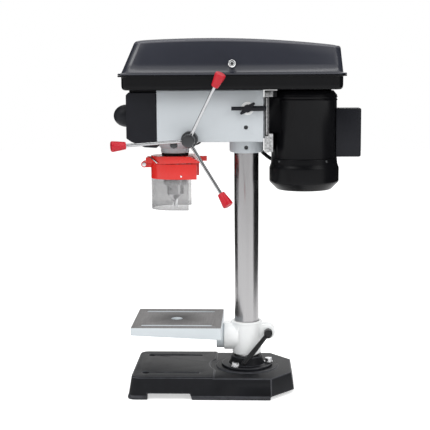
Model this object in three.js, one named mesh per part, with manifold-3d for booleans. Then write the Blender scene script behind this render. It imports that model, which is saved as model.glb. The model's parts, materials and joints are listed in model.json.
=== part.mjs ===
// A benchtop drill press, built from its separate pieces.
// Millimetres. The column's axis is x = 0, y = 0 and the floor is z = 0 while the pieces are made.
// The operator stands at -x, the motor is at +x and the feed handles are at -y.
import * as THREE from 'three';
import { mergeVertices } from 'three/addons/utils/BufferGeometryUtils.js';
import Module from 'manifold-3d';

const wasm = await Module();
wasm.setup();

// Clearances, the overrun of cuts and the depth by which joined forms bite into each other
const gap = 0.3;
const over = 3;
const bite = 2;
const turn = 2 * Math.PI;

// Driving dimensions
const column = { radius: 23, wall: 3, length: 514 };
const spindleX = -133.5;
const base = {
  front: -213, rear: 84, half: 92, height: 39.5, plate: 8, wall: 6, flare: 5.5, lip: 6, lipReach: 1.5,
  edge: 1.5, corner: 14, chamferStart: 46, chamferHalf: 45,
  padEdge: -60, padRise: 2.5, padRadius: 71, seatRadius: 59, seatRise: 2,
  archFront: -182, archRear: -99, archHeight: 11, archSlope: 5, footRear: 45, rearLift: 6,
  slotY: 62, slotFront: -188, slotRear: -88, slotHalf: 3, keyRadius: 7, bossRadius: 10, bossDepth: 6,
};
const flange = {
  radius: 48.5, edge: 4.2, chamfer: 1, spot: 35, neck: 30, neckRise: 6, height: 20, boltCircle: 41.5,
};
const flangeBolt = {
  count: 3, shank: 4, head: 7.4, headHeight: 6.5, washer: 8.6, washerHeight: 1.8, length: 24,
};
const bracket = {
  bottom: 66, height: 62.5, lower: 27.6, upper: 29, rim: 1, rimHeight: 3, edge: 1,
  bossRise: 32, bossRadius: 26, bossFace: -43, bossRoot: -15, webHalf: 10, webDrop: 4,
  lugX: 40.8, lugRise: 42, lugRadius: 13.2, lugHalf: 15, slit: 3,
};
const clampBolt = { radius: 5, head: 8.5, headHeight: 6, length: 42 };
const lockLever = { hub: 8, hubLength: 18, endX: -6.4, endY: -51, endZ: 54, root: 4, tip: 5.3,
  tipRound: 2.5 };
const table = {
  front: -214, rear: -45.6, half: 82, top: 131, plate: 8, apronFront: 14, apronRear: 22, wall: 6, corner: 3,
  edge: 1, slotY: 58, slotInset: 18, slotHalf: 3.5, hole: 10.5, holeBoss: 17, ribY: 26, ribHalf: 3,
  ribDrop: 7, bossRadius: 23, bossDepth: 14, neckHalf: 18,
};
const tiltBolt = { radius: 5, head: 9, headHeight: 6, length: 33 };
const head = {
  front: -162, rear: 31.7, half: 62, top: 566, height: 94, bevel: 3, wall: 7, roof: 10,
  collar: 31.5, collarDrop: 23, collarEdge: 4, quillBoss: 27.5, flare: 44, flareDrop: 13, flareSeat: 29,
  ring: 26.4, ringGroove: 1.2, ringDrop: 23, ribHalf: 3, ribRise: 3, rodHousing: 48,
  screwBoss: 9, lockBoss: 12, lockBossRise: 2.6, padReach: 4, padHalf: 46, padLow: 478, padHigh: 550,
};
const slack = 4;
const slideRod = { radius: 6, y: 45, z: 533, length: 78 };
const setScrew = { radius: 3.6, sink: 3, upperZ: 498.5, collarZ: 459.8, socket: 1.8, socketDepth: 3 };
const lock = {
  x: 3, stud: 4, hub: 7.2, hubLength: 15, barY: 8, barLeft: 29, barRight: 34, barThin: 3.6, barThick: 4.8,
  wingX: 12.5, wingZ: 9.8, wingRadius: 4.2, wingOut: 6,
};
const feed = {
  x: -101.7, rise: 5.5, ring: 15, ringLength: 21, hub: 11.4, hubLength: 37, shaft: 8, journal: 15.4,
  ringEdge: 1.5, hubEdge: 3,
  teeth: 18, module: 1.5, faceHalf: 8, armCount: 3, armPhase: 63, armRoot: 5, armReach: 118, armY: 24,
  armEndY: 62, armRadius: 3, knobLength: 26, knobThin: 6.7, knobThick: 9.7, knobOver: 11,
  knobEdge: 1, knobRound: 3,
};
const feedZ = head.top - head.height + feed.rise;
const springCap = { radius: 20, depth: 19, wall: 2, stripThick: 1.2, turns: 3, turnSteps: 14, stripInset: 3,
  stub: 5 };
const quill = { radius: 20, bottom: 431, top: 548, bore: 10.6, rackTop: 536 };
const bearing = { outer: 14, length: 10, nose: 9, inset: 3 };
const spindle = {
  radius: 9, drive: 7.6, driveRun: 3, top: 632, collar: 12.5, collarHeight: 3, taperTop: 8, taperTip: 6.6,
  nose: 406,
};
const bumper = { outer: 25.4, height: 4.4 };
const guideScrew = { radius: 7, z: 465, nut: 5 };
const chuck = {
  top: 426, shoulder: 415, crown: 19, core: 17.4, coreBottom: 389, body: 15.7, bodyBottom: 371, nose: 360,
  noseRadius: 6, sleeve: 21.6, tooth: 1.1, teeth: 24, toothHeight: 6, keyRadius: 2.4, keyZ: 382.5,
  keyDepth: 5,
};
const jaw = { count: 3, radius: 3.1, tipZ: 345, tipX: 2, lean: 10, length: 40, room: 16 };
const guard = {
  x: -135.5, radius: 43.5, rear: -91, wall: 3, top: 444, hub: 27, plate: 3, roofDrop: 9, roofReach: 12,
  wedgeFront: -168, wedgeRise: 2.5, frameTop: 430, frameBottom: 402, shieldBottom: 344.5, shieldRear: -106,
  shieldWall: 1.6, shieldStep: 2.4, pinX: -190.5, pinZ: 428, pinRadius: 2, pinHalf: 13,
  lug: 6, lugHalf: 4, tabHalf: 11,
  earLength: 17,
};
const guardSpring = { wire: 1.4, x: [-179, -172, -164], y: [-18, -27, -36.2], z: [442.2, 437.6, 432.2] };
const pulley = {
  steps: 5, headroom: 22, bottom: 577, radii: [46, 40.5, 35, 29.5, 24], groove: 5, lip: 2, sleeve: 14.2,
};
const housing = {
  front: -223.2, rear: 173.4, half: 90, bottom: 566.3, height: 31, wall: 2.5, corner: 16, flange: 6.5,
  flangeThick: 3, belly: 7, bellyRise: 6, hub: 27, motorHole: 24,
};
const lid = {
  topFront: -200, topRear: 169.5, topHalf: 66, crownX: -70, crownTop: 659, crownFall: 41,
  wall: 2.5,
  edge: 2, knobX: -24, knobZ: 612.8, knob: 7, knobDepth: 7, knobEdge: 1.5, knobGap: 1.5, shank: 3,
  shankLength: 16, boreRadius: 2.6,
};
const hinge = { front: -150, rear: 100, half: 10, leaf: 9, barrel: 4.2, pin: 2, pinBite: 3, reach: 4.8 };
const motor = {
  x: 107.5, radius: 61, top: 563.5, seam: 440, rim: 1, rimZ: 548, rimHeight: 4, cap: 9, capRadius: 53,
  wall: 4, stator: 34, statorLow: 458, statorHigh: 532, footX: 41.6, footHalf: 38,
  footLow: 487, footHigh: 552,
  shaft: 7, pulleyTop: 640,
};
const bell = { radius: 64.8, bottom: 380, flareLow: 395, flareHigh: 422, neck: 428, chin: 50, wall: 4 };
const rotor = {
  core: 33.4, low: 459, high: 531, fan: 50, fanHub: 16, fanZ: 402, fanPlate: 3, bladeHeight: 12, blades: 6,
  bladeHalf: 1,
};
const capBox = { front: 159, rear: 211.4, half: 22, low: 441.5, high: 531, edge: 5, wall: 3 };
const mountPlate = {
  front: 34, rear: 41.3, half: 54, low: 452, high: 563, ribRear: 49, ribHalf: 50, ribLow: 453, ribTop: 486,
  gussetRear: 56, gussetLow: 553, gussetHalf: 50, corner: 6, pocketDepth: 4.3, pocketRoom: 2,
};
const lead = { radius: 3.5, y: 45, x: 18, glandX: 60, glandZ: 430, gland: 7, bendX: [19, 27, 42, 53],
  bendZ: [468, 450, 436, 430.3] };
const box = {
  front: -217.7, rear: -162.3, half: 60, top: 562.4, corner: 5, sideLow: 479, chinX: -209, chinZ: 473,
  heelX: -184.5, heelZ: 463, bottom: 461.7, edge: 1.5, wall: 3, backLow: 478, backHigh: 552,
};
const stopButton = { z: 518, radius: 21, skirt: 6, dome: 20, stem: 7, travel: 4, stemLength: 12 };
const startButton = { z: 488.5, radius: 6, proud: 3, stemLength: 10 };
const gland = { x: -190, z: 500, radius: 9, length: 12, bore: 3.6, nut: 11, nutLength: 4, edge: 3 };

// Solids from closed geometries
function solid(geometry) {
  const bare = new THREE.BufferGeometry();
  bare.setAttribute('position', geometry.attributes.position.clone());
  if (geometry.index) bare.setIndex(geometry.index.clone());
  const merged = mergeVertices(bare);
  const corners = merged.index.array;
  const kept = [];
  for (let i = 0; i < corners.length; i += 3) {
    const [a, b, c] = [corners[i], corners[i + 1], corners[i + 2]];
    if (a !== b && b !== c && c !== a) kept.push(a, b, c);
  }
  const build = (triangles) => new wasm.Manifold(new wasm.Mesh({
    numProp: 3,
    vertProperties: new Float32Array(merged.attributes.position.array),
    triVerts: Uint32Array.from(triangles),
  }));
  const made = build(kept);
  if (made.volume() > 0) return made;
  return build(kept.slice().reverse());
}

const join = (first, ...others) => others.reduce((sum, piece) => sum.add(piece), first);
const cut = (body, ...tools) => tools.reduce((rest, tool) => rest.subtract(tool), body);
const meet = (first, second) => first.intersect(second);

// Turned about an axis: the profile holds [radius, distance along the axis]
const axes = {
  x: new THREE.Vector3(1, 0, 0),
  y: new THREE.Vector3(0, 1, 0),
  z: new THREE.Vector3(0, 0, 1),
};

function turned(profile, origin, axis, sides = 20) {
  const points = profile.map(([radius, along]) => new THREE.Vector2(radius, along));
  const geometry = new THREE.LatheGeometry(points, sides);
  const direction = axes[axis] ?? axis.clone().normalize();
  geometry.applyQuaternion(new THREE.Quaternion().setFromUnitVectors(axes.y, direction));
  geometry.translate(...origin);
  return solid(geometry);
}

const rod = (radius, origin, axis, from, to, sides = 12) =>
  turned([[0, from], [radius, from], [radius, to], [0, to]], origin, axis, sides);

const ring = (inner, outer, origin, axis, from, to, sides = 20) =>
  turned([[inner, from], [outer, from], [outer, to], [inner, to], [inner, from]], origin, axis, sides);

function slab(x0, x1, y0, y1, z0, z1) {
  const geometry = new THREE.BoxGeometry(x1 - x0, y1 - y0, z1 - z0);
  geometry.translate((x0 + x1) / 2, (y0 + y1) / 2, (z0 + z1) / 2);
  return solid(geometry);
}

// Extruded along an axis. Outlines are (x, y) for z, (x, z) for y and (y, z) for x.
function extruded(shape, axis, from, to, bevel = 0, curveSegments = 6) {
  const geometry = new THREE.ExtrudeGeometry(shape, {
    depth: to - from - 2 * bevel,
    bevelEnabled: bevel > 0,
    bevelThickness: bevel,
    bevelSize: bevel,
    bevelOffset: -bevel,
    bevelSegments: 2,
    curveSegments,
  });
  geometry.translate(0, 0, bevel);
  const frames = {
    z: [axes.x, axes.y, axes.z],
    y: [axes.x, axes.z, axes.y.clone().negate()],
    x: [axes.y, axes.z, axes.x],
  };
  geometry.applyMatrix4(new THREE.Matrix4().makeBasis(...frames[axis]));
  const shift = { z: [0, 0, from], y: [0, to, 0], x: [from, 0, 0] };
  geometry.translate(...shift[axis]);
  return solid(geometry);
}

const polygon = (points) => new THREE.Shape(points.map(([a, b]) => new THREE.Vector2(a, b)));

function roundedRectangle(a0, a1, b0, b1, radius) {
  const shape = new THREE.Shape();
  shape.absarc(a1 - radius, b0 + radius, radius, -turn / 4, 0);
  shape.absarc(a1 - radius, b1 - radius, radius, 0, turn / 4);
  shape.absarc(a0 + radius, b1 - radius, radius, turn / 4, turn / 2);
  shape.absarc(a0 + radius, b0 + radius, radius, turn / 2, 3 * turn / 4);
  shape.closePath();
  return shape;
}

// A body through level rings of points, all with the same count and counter-clockwise from above
function lofted(rings) {
  const count = rings[0].length;
  const triangles = [];
  for (let level = 0; level + 1 < rings.length; level += 1) {
    for (let i = 0; i < count; i += 1) {
      const a = level * count + i;
      const b = level * count + (i + 1) % count;
      triangles.push(a, b, b + count, a, b + count, a + count);
    }
  }
  const flat = rings[0].map(([x, y]) => new THREE.Vector2(x, y));
  const topStart = (rings.length - 1) * count;
  for (const [a, b, c] of THREE.ShapeUtils.triangulateShape(flat, [])) {
    triangles.push(c, b, a, topStart + a, topStart + b, topStart + c);
  }
  const geometry = new THREE.BufferGeometry();
  geometry.setAttribute('position', new THREE.Float32BufferAttribute(rings.flat(2), 3));
  geometry.setIndex(triangles);
  return solid(geometry);
}

// A closed band whose section is followed round by rings of points
function looped(rings) {
  const count = rings[0].length;
  const triangles = [];
  for (let level = 0; level < rings.length; level += 1) {
    const next = (level + 1) % rings.length;
    for (let i = 0; i < count; i += 1) {
      const j = (i + 1) % count;
      triangles.push(level * count + i, level * count + j, next * count + j);
      triangles.push(level * count + i, next * count + j, next * count + i);
    }
  }
  const geometry = new THREE.BufferGeometry();
  geometry.setAttribute('position', new THREE.Float32BufferAttribute(rings.flat(2), 3));
  geometry.setIndex(triangles);
  return solid(geometry);
}

// Regular nuts and bolt heads
const hexagon = (radius, origin, axis, from, to) => rod(radius, origin, axis, from, to, 6);

// Finishes
const finish = (color, roughness, metalness) => new THREE.MeshStandardMaterial({ color, roughness,
  metalness });
const blackIron = finish(0x222427, 0.55, 0.2);
const blackPaint = finish(0x1f2124, 0.4, 0.1);
const blackPlastic = finish(0x26282c, 0.6, 0);
const coverPaint = finish(0x2b2e34, 0.45, 0.1);
const greyPaint = finish(0xc9d0d4, 0.5, 0.1);
const whitePaint = finish(0xdfe6e6, 0.5, 0.1);
const groundSteel = finish(0x8c8f92, 0.35, 0.9);
const brightSteel = finish(0xc8ccd0, 0.25, 1);
const darkSteel = finish(0x44474b, 0.5, 0.8);
const redPlastic = finish(0xe83c36, 0.45, 0);
const redGrip = finish(0xc83545, 0.4, 0);
const greenPlastic = finish(0x2f9a4c, 0.45, 0);
const smoke = finish(0x9a9c9e, 0.1, 0);
const rubber = finish(0x1a1a1b, 0.8, 0);
const aluminium = finish(0xb4b8bb, 0.4, 0.9);

const press = new THREE.Group();
function add(name, body, material) {
  const { numProp, vertProperties, triVerts } = body.getMesh();
  const geometry = new THREE.BufferGeometry();
  geometry.setAttribute('position', new THREE.BufferAttribute(new Float32Array(vertProperties), numProp));
  geometry.setIndex(Array.from(triVerts));
  geometry.computeVertexNormals();
  const mesh = new THREE.Mesh(geometry, material);
  mesh.name = name;
  press.add(mesh);
}

// Base casting
function baseOutline(grow) {
  const shape = new THREE.Shape();
  const x0 = base.front - grow;
  const x1 = base.rear + grow;
  const y1 = base.half + grow;
  const yc = base.chamferHalf + grow / 2;
  shape.moveTo(base.chamferStart, -y1);
  shape.lineTo(x1, -yc);
  shape.lineTo(x1, yc);
  shape.lineTo(base.chamferStart, y1);
  shape.absarc(x0 + base.corner, y1 - base.corner, base.corner, turn / 4, turn / 2);
  shape.absarc(x0 + base.corner, base.corner - y1, base.corner, turn / 2, 3 * turn / 4);
  return shape.getPoints(2).map((point) => [point.x, point.y]);
}
const baseRing = (grow, z) => baseOutline(grow).map(([x, y]) => [x, y, z]);
const padTop = base.height + base.padRise;
const seatTop = base.height + base.seatRise;
const plateBottom = base.height - base.plate;
const flangeBottom = seatTop + gap;
const boltPlaces = Array.from({ length: flangeBolt.count }, (_, i) => {
  const angle = i * turn / flangeBolt.count;
  return [flange.boltCircle * Math.cos(angle), flange.boltCircle * Math.sin(angle), 0];
});

function makeBase() {
  const skirt = base.flare + base.lipReach;
  const shell = lofted([
    baseRing(skirt, 0),
    baseRing(skirt, base.lip - base.lipReach),
    baseRing(base.flare, base.lip),
    baseRing(0, padTop - base.edge),
    baseRing(-base.edge, padTop),
  ]);
  const hollow = lofted([
    baseRing(skirt - base.wall, -over),
    baseRing(-base.wall, plateBottom),
  ]);
  const far = base.half + skirt + over;
  const rearEnd = base.rear + skirt + over;
  const recess = join(
    slab(base.padEdge, rearEnd, -far, far, base.height, padTop + over),
    rod(base.padRadius, [0, 0, 0], 'z', base.height, padTop + over, 32),
  );
  const arch = extruded(polygon([
    [base.archFront, -over],
    [base.archRear, -over],
    [base.archRear - base.archSlope, base.archHeight],
    [base.archFront, base.archHeight],
  ]), 'y', -far, far);
  const lift = slab(base.footRear, rearEnd, -far, far, -over, base.rearLift);
  const seat = rod(base.seatRadius, [0, 0, 0], 'z', plateBottom, seatTop, 32);
  const bosses = boltPlaces.map((place) =>
    rod(base.bossRadius, place, 'z', plateBottom - base.bossDepth, base.height, 10));
  const boltHoles = boltPlaces.map((place) =>
    rod(flangeBolt.shank + gap, place, 'z', plateBottom - base.bossDepth - over, padTop + over, 10));
  const slots = [-base.slotY, base.slotY].flatMap((y) => [
    rod(base.keyRadius, [base.slotFront, y, 0], 'z', plateBottom - over, padTop + over, 12),
    slab(base.slotFront, base.slotRear, y - base.slotHalf, y + base.slotHalf, plateBottom - over,
      padTop + over),
  ]);
  return cut(join(cut(shell, hollow, recess, arch, lift), seat, ...bosses), ...boltHoles, ...slots);
}
add('base', makeBase(), blackIron);

// Column and the flange that holds it
const columnBottom = flangeBottom;
const columnTop = columnBottom + column.length;
const columnBore = column.radius + gap;
add('column', ring(column.radius - column.wall, column.radius, [0, 0, 0], 'z', columnBottom, columnTop,
  24), groundSteel);

const flangeTop = flangeBottom + flange.edge;
function makeFlange() {
  const neckTop = flangeBottom + flange.height;
  const body = turned([
    [columnBore, flangeBottom],
    [flange.radius, flangeBottom],
    [flange.radius, flangeTop - flange.chamfer],
    [flange.radius - flange.chamfer, flangeTop],
    [flange.spot, flangeTop],
    [flange.neck + flange.chamfer, flangeTop + flange.neckRise],
    [flange.neck, neckTop - flange.chamfer],
    [flange.neck - flange.chamfer, neckTop],
    [columnBore, neckTop],
    [columnBore, flangeBottom],
  ], [0, 0, 0], 'z', 24);
  const spots = boltPlaces.map((place) =>
    rod(flangeBolt.washer + gap, place, 'z', flangeTop, neckTop, 12));
  const holes = boltPlaces.map((place) =>
    rod(flangeBolt.shank + gap, place, 'z', flangeBottom - over, neckTop, 10));
  return cut(body, ...spots, ...holes);
}
add('column_flange', makeFlange(), blackIron);

boltPlaces.forEach((place, i) => {
  const seatZ = flangeTop + gap;
  const washerTop = seatZ + flangeBolt.washerHeight;
  const bolt = join(
    rod(flangeBolt.shank, place, 'z', seatZ - flangeBolt.length, washerTop, 10),
    rod(flangeBolt.washer, place, 'z', seatZ, washerTop, 12),
    hexagon(flangeBolt.head, place, 'z', seatZ, washerTop + flangeBolt.headHeight),
  );
  add(`flange_bolt_${i + 1}`, bolt, brightSteel);
});

// Table bracket, clamped round the column
const bracketTop = bracket.bottom + bracket.height;
const bossZ = bracket.bottom + bracket.bossRise;
const lugZ = bracket.bottom + bracket.lugRise;
function makeBracket() {
  const collar = turned([
    [0, bracket.bottom],
    [bracket.lower - bracket.edge, bracket.bottom],
    [bracket.lower, bracket.bottom + bracket.edge],
    [bracket.upper, bracketTop - bracket.rimHeight - bracket.edge],
    [bracket.upper + bracket.rim, bracketTop - bracket.rimHeight],
    [bracket.upper + bracket.rim, bracketTop - bracket.edge],
    [bracket.upper, bracketTop],
    [0, bracketTop],
  ], [0, 0, 0], 'z', 24);
  const boss = turned([
    [0, bracket.bossFace],
    [bracket.bossRadius - bracket.edge, bracket.bossFace],
    [bracket.bossRadius, bracket.bossFace + bracket.edge],
    [bracket.bossRadius, bracket.bossRoot],
    [0, bracket.bossRoot],
  ], [0, 0, bossZ], 'x', 20);
  const web = slab(bracket.bossFace, bracket.bossRoot, -bracket.webHalf, bracket.webHalf, bossZ,
    bracketTop - bracket.webDrop);
  const lug = join(
    rod(bracket.lugRadius, [bracket.lugX, 0, lugZ], 'y', -bracket.lugHalf, bracket.lugHalf, 18),
    slab(column.radius - column.wall, bracket.lugX, -bracket.lugHalf, bracket.lugHalf,
      lugZ - bracket.lugRadius, lugZ + bracket.lugRadius),
  );
  const lugEnd = bracket.lugX + bracket.lugRadius + over;
  return cut(
    join(collar, boss, web, lug),
    rod(columnBore, [0, 0, 0], 'z', bracket.bottom - over, bracketTop + over, 24),
    slab(column.radius - column.wall, lugEnd, -bracket.slit / 2, bracket.slit / 2,
      bracket.bottom - over, bracketTop + over),
    rod(clampBolt.radius + gap, [bracket.lugX, 0, lugZ], 'y', -bracket.lugHalf - over,
      bracket.lugHalf + over, 12),
    rod(tiltBolt.radius + gap, [0, 0, bossZ], 'x', bracket.bossFace - over, bracket.bossRoot, 12),
  );
}
add('table_bracket', makeBracket(), whitePaint);

const lugFace = bracket.lugHalf + gap;
const clampEnd = lugFace - clampBolt.length;
add('bracket_clamp_bolt', join(
  rod(clampBolt.radius, [bracket.lugX, 0, lugZ], 'y', clampEnd, lugFace, 12),
  hexagon(clampBolt.head, [bracket.lugX, 0, lugZ], 'y', lugFace, lugFace + clampBolt.headHeight),
), darkSteel);

function makeLockLever() {
  const hubEnd = -lugFace - lockLever.hubLength;
  const start = new THREE.Vector3(bracket.lugX, hubEnd + lockLever.hubLength / 2, lugZ);
  const end = new THREE.Vector3(lockLever.endX, lockLever.endY, lockLever.endZ);
  const reach = end.distanceTo(start);
  const arm = turned([
    [0, 0],
    [lockLever.root, 0],
    [lockLever.tip, reach - 2 * lockLever.tip],
    [lockLever.tip, reach - lockLever.tipRound],
    [lockLever.tip / 2, reach],
    [0, reach],
  ], start.toArray(), end.clone().sub(start), 10);
  const hub = turned([
    [0, -lugFace],
    [lockLever.hub, -lugFace],
    [lockLever.hub, hubEnd + lockLever.tipRound],
    [lockLever.hub - lockLever.tipRound, hubEnd],
    [0, hubEnd],
  ], [bracket.lugX, 0, lugZ], 'y', 12);
  return cut(join(hub, arm),
    rod(clampBolt.radius + gap, [bracket.lugX, 0, lugZ], 'y', clampEnd - gap, over - lugFace, 12));
}
add('bracket_lock_lever', makeLockLever(), blackPlastic);

// Work table, tilting on the bracket's boss
const tableBack = bracket.bossFace - gap;
const tableBossFront = tableBack - table.bossDepth;
function makeTable() {
  const plateLow = table.top - table.plate;
  const deep = table.top - table.apronRear;
  const plate = extruded(
    roundedRectangle(table.front, table.rear, -table.half, table.half, table.corner),
    'z', deep, table.top, table.edge, 2);
  const inner = table.half - table.wall;
  const slope = extruded(polygon([
    [table.front - over, deep - over],
    [table.rear + over, deep - over],
    [table.rear, deep],
    [table.front, table.top - table.apronFront],
    [table.front - over, table.top - table.apronFront],
  ]), 'y', -table.half - over, table.half + over);
  const hollow = slab(table.front + table.wall, table.rear - table.wall, -inner, inner, deep - over,
    plateLow);
  const ribs = [-table.ribY, table.ribY].map((y) =>
    slab(table.front + table.wall / 2, table.rear - table.wall / 2, y - table.ribHalf, y + table.ribHalf,
      plateLow - table.ribDrop, plateLow + table.edge));
  const holeBoss = rod(table.holeBoss, [spindleX, 0, 0], 'z', plateLow - table.ribDrop,
    plateLow + table.edge, 18);
  const boss = join(
    rod(table.bossRadius, [0, 0, bossZ], 'x', tableBossFront, tableBack, 20),
    slab(tableBossFront, table.rear - table.edge, -table.neckHalf, table.neckHalf, bossZ,
      plateLow + table.edge),
  );
  const slots = [-table.slotY, table.slotY].map((y) => extruded(
    roundedRectangle(table.front + table.slotInset, table.rear - table.slotInset,
      y - table.slotHalf, y + table.slotHalf, table.slotHalf),
    'z', plateLow - over, table.top + over, 0, 3));
  return cut(join(cut(plate, hollow, slope), ...ribs, holeBoss, boss),
    rod(table.hole, [spindleX, 0, 0], 'z', deep - over, table.top + over, 18),
    rod(tiltBolt.radius + gap, [0, 0, bossZ], 'x', tableBossFront - over, tableBack + over, 12),
    ...slots);
}
add('table', makeTable(), groundSteel);

const tiltHeadBack = tableBossFront - gap;
add('table_tilt_bolt', join(
  rod(tiltBolt.radius, [0, 0, bossZ], 'x', tiltHeadBack, tiltHeadBack + tiltBolt.length, 12),
  hexagon(tiltBolt.head, [0, 0, bossZ], 'x', tiltHeadBack - tiltBolt.headHeight, tiltHeadBack),
), darkSteel);

// Head casting: open underneath, with a boss round the quill and one round the column
const headBottom = head.top - head.height;
const collarBottom = headBottom - head.collarDrop;
const noseBottom = headBottom - head.ringDrop;
const flareBottom = headBottom - head.flareDrop;
const gearShares = { addendum: 1, dedendum: 1.25, crest: 2 };
const quillAxis = [spindleX, 0, 0];
const quillBore = quill.radius + gap;
const quillRoof = quill.top + gap;
const sleeveBore = pulley.sleeve + gap;
const pitchRadius = feed.teeth * feed.module / 2;
const pinionRoot = pitchRadius - gearShares.dedendum * feed.module;
const pinionTip = pitchRadius + gearShares.addendum * feed.module;
const lockFace = -head.half - head.lockBossRise;

function makeHead() {
  const outer = extruded(
    polygon([[head.front, headBottom], [head.rear, headBottom], [head.rear, head.top], [head.front,
      head.top]]),
    'y', -head.half, head.half, head.bevel);
  const inner = head.half - head.wall;
  const rodFloor = slideRod.z - 2 * slideRod.radius;
  const hollow = join(
    slab(head.front + head.wall, -head.rodHousing, -inner, inner, headBottom - over, head.top - head.roof),
    slab(-head.rodHousing - bite, head.rear - head.wall, -inner, inner, headBottom - over, rodFloor),
  );
  const quillBoss = rod(head.quillBoss, quillAxis, 'z', headBottom, head.top - head.roof / 2, 24);
  const columnBoss = turned([
    [0, collarBottom],
    [head.collar - head.collarEdge, collarBottom],
    [head.collar - head.collarEdge / 4, collarBottom + head.collarEdge / 3],
    [head.collar, collarBottom + head.collarEdge],
    [head.collar, head.top - head.roof / 2],
    [0, head.top - head.roof / 2],
  ], [0, 0, 0], 'z', 24);
  const rib = slab(spindleX, 0, -head.ribHalf, head.ribHalf, headBottom + head.ribRise,
    head.top - head.roof / 2);
  const flare = meet(
    turned([
      [0, noseBottom],
      [head.ring, noseBottom],
      [head.ring, flareBottom - head.ringGroove],
      [head.flareSeat, flareBottom],
      [head.flare, headBottom],
      [head.flare, headBottom + head.wall / 2],
      [0, headBottom + head.wall / 2],
    ], quillAxis, 'z', 24),
    slab(head.front, 0, -head.half, head.half, noseBottom - over, head.top),
  );
  const upperBoss = rod(head.screwBoss, [0, 0, setScrew.upperZ], 'y', -inner - bite, -column.radius, 12);
  const lockBoss = rod(head.lockBoss, [lock.x, 0, slideRod.z], 'y', lockFace, -inner, 16);
  const pad = slab(head.rear - bite, head.rear + head.padReach, -head.padHalf, head.padHalf, head.padLow,
    head.padHigh);
  const body = join(cut(outer, hollow), quillBoss, columnBoss, rib, flare, upperBoss, lockBoss, pad);
  return cut(body,
    rod(quillBore, quillAxis, 'z', noseBottom - over, quillRoof, 24),
    rod(sleeveBore, quillAxis, 'z', quill.top - over, head.top + over, 18),
    rod(columnBore, [0, 0, 0], 'z', collarBottom - over, columnTop + gap, 24),
    rod(feed.journal + gap, [feed.x, 0, feedZ], 'y', -feed.faceHalf - 2 * gap, head.half + over, 18),
    rod(feed.shaft + gap, [feed.x, 0, feedZ], 'y', -head.half - over, 0, 12),
    ...[-slideRod.y, slideRod.y].map((y) =>
      rod(slideRod.radius + gap, [0, y, slideRod.z], 'x', mountPlate.rear - slideRod.length - slack - over,
        head.rear + head.padReach + over, 12)),
    rod(lock.stud + gap, [lock.x, 0, slideRod.z], 'y', lockFace - over, -slideRod.y, 12),
    rod(setScrew.radius + gap, [0, 0, setScrew.upperZ], 'y', -head.half - over, -column.radius, 12),
    rod(setScrew.radius + gap, [0, 0, setScrew.collarZ], 'y', -head.half, -column.radius, 12),
    rod(guideScrew.radius / 2 + gap, [spindleX, 0, guideScrew.z], 'y', -head.flare, -quill.radius, 10),
    rod(guideScrew.radius + 2 * gap, [spindleX, 0, guideScrew.z], 'y', -head.flare, -head.quillBoss, 10),
  );
}
add('head_casting', makeHead(), greyPaint);

// Socket set screws that hold the head on the column
function makeSetScrew(z, face) {
  const tip = -columnBore;
  return cut(
    rod(setScrew.radius, [0, 0, z], 'y', face + setScrew.sink, tip, 12),
    hexagon(setScrew.socket, [0, 0, z], 'y', face, face + setScrew.sink + setScrew.socketDepth),
  );
}
add('head_set_screw', makeSetScrew(setScrew.upperZ, -head.half), darkSteel);
add('collar_set_screw', makeSetScrew(setScrew.collarZ, -head.collar), darkSteel);

// Screw and lock nut that guide the quill
const guideFace = -head.quillBoss - gap;
add('quill_guide_screw', join(
  rod(guideScrew.radius / 2, [spindleX, 0, guideScrew.z], 'y', guideFace - guideScrew.nut,
    -quillBore - gap, 10),
  hexagon(guideScrew.radius, [spindleX, 0, guideScrew.z], 'y', guideFace - guideScrew.nut, guideFace),
), blackPaint);

// Quill with its rack, the spindle and its two bearings
const pitch = Math.PI * feed.module;
const rackPlane = feed.x - spindleX - pitchRadius;
const toothShares = { pitchLine: 0.42, rise: 0.36 };
function makeQuill() {
  const seat = bearing.outer + gap;
  const lowSeat = quill.bottom + bearing.length + bearing.inset;
  const highSeat = quill.top - bearing.length - bearing.inset;
  const body = turned([
    [seat, quill.bottom],
    [quill.radius, quill.bottom],
    [quill.radius, quill.top],
    [seat, quill.top],
    [seat, highSeat],
    [quill.bore, highSeat],
    [quill.bore, lowSeat],
    [seat, lowSeat],
    [seat, quill.bottom],
  ], quillAxis, 'z', 24);
  const halfAt = (depth) => pitch * (1 - toothShares.pitchLine) / 2 - depth * toothShares.rise;
  const root = gearShares.dedendum * feed.module;
  const crest = gearShares.crest * feed.module;
  const count = Math.floor((quill.rackTop - feedZ) / pitch) + 2;
  const spaces = Array.from({ length: count }, (_, i) => {
    const z = feedZ + (i - 1) * pitch;
    const x = spindleX + rackPlane;
    return extruded(polygon([
      [x - root, z - halfAt(root)],
      [x + crest, z - halfAt(-crest)],
      [x + crest, z + halfAt(-crest)],
      [x - root, z + halfAt(root)],
    ]), 'y', -quill.radius, quill.radius);
  });
  return cut(body, ...spaces);
}
add('quill', makeQuill(), groundSteel);

const lowBearing = quill.bottom + bearing.inset;
const highBearing = quill.top - bearing.inset - bearing.length;
add('lower_bearing', ring(bearing.nose + gap, bearing.outer, quillAxis, 'z', lowBearing,
  lowBearing + bearing.length), brightSteel);
add('upper_bearing', ring(bearing.nose + gap, bearing.outer, quillAxis, 'z', highBearing + gap,
  highBearing + gap + bearing.length), brightSteel);

const spindleCollarTop = lowBearing - gap;
add('spindle', turned([
  [0, spindle.nose],
  [spindle.taperTip, spindle.nose],
  [spindle.taperTop, chuck.top],
  [spindle.radius, chuck.top + gap],
  [spindle.radius, spindleCollarTop - spindle.collarHeight],
  [spindle.collar, spindleCollarTop - spindle.collarHeight],
  [spindle.collar, spindleCollarTop],
  [spindle.radius, spindleCollarTop],
  [spindle.radius, quill.top],
  [spindle.drive, quill.top + spindle.driveRun],
  [spindle.drive, spindle.top],
  [0, spindle.top],
], quillAxis, 'z', 18), brightSteel);

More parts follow.
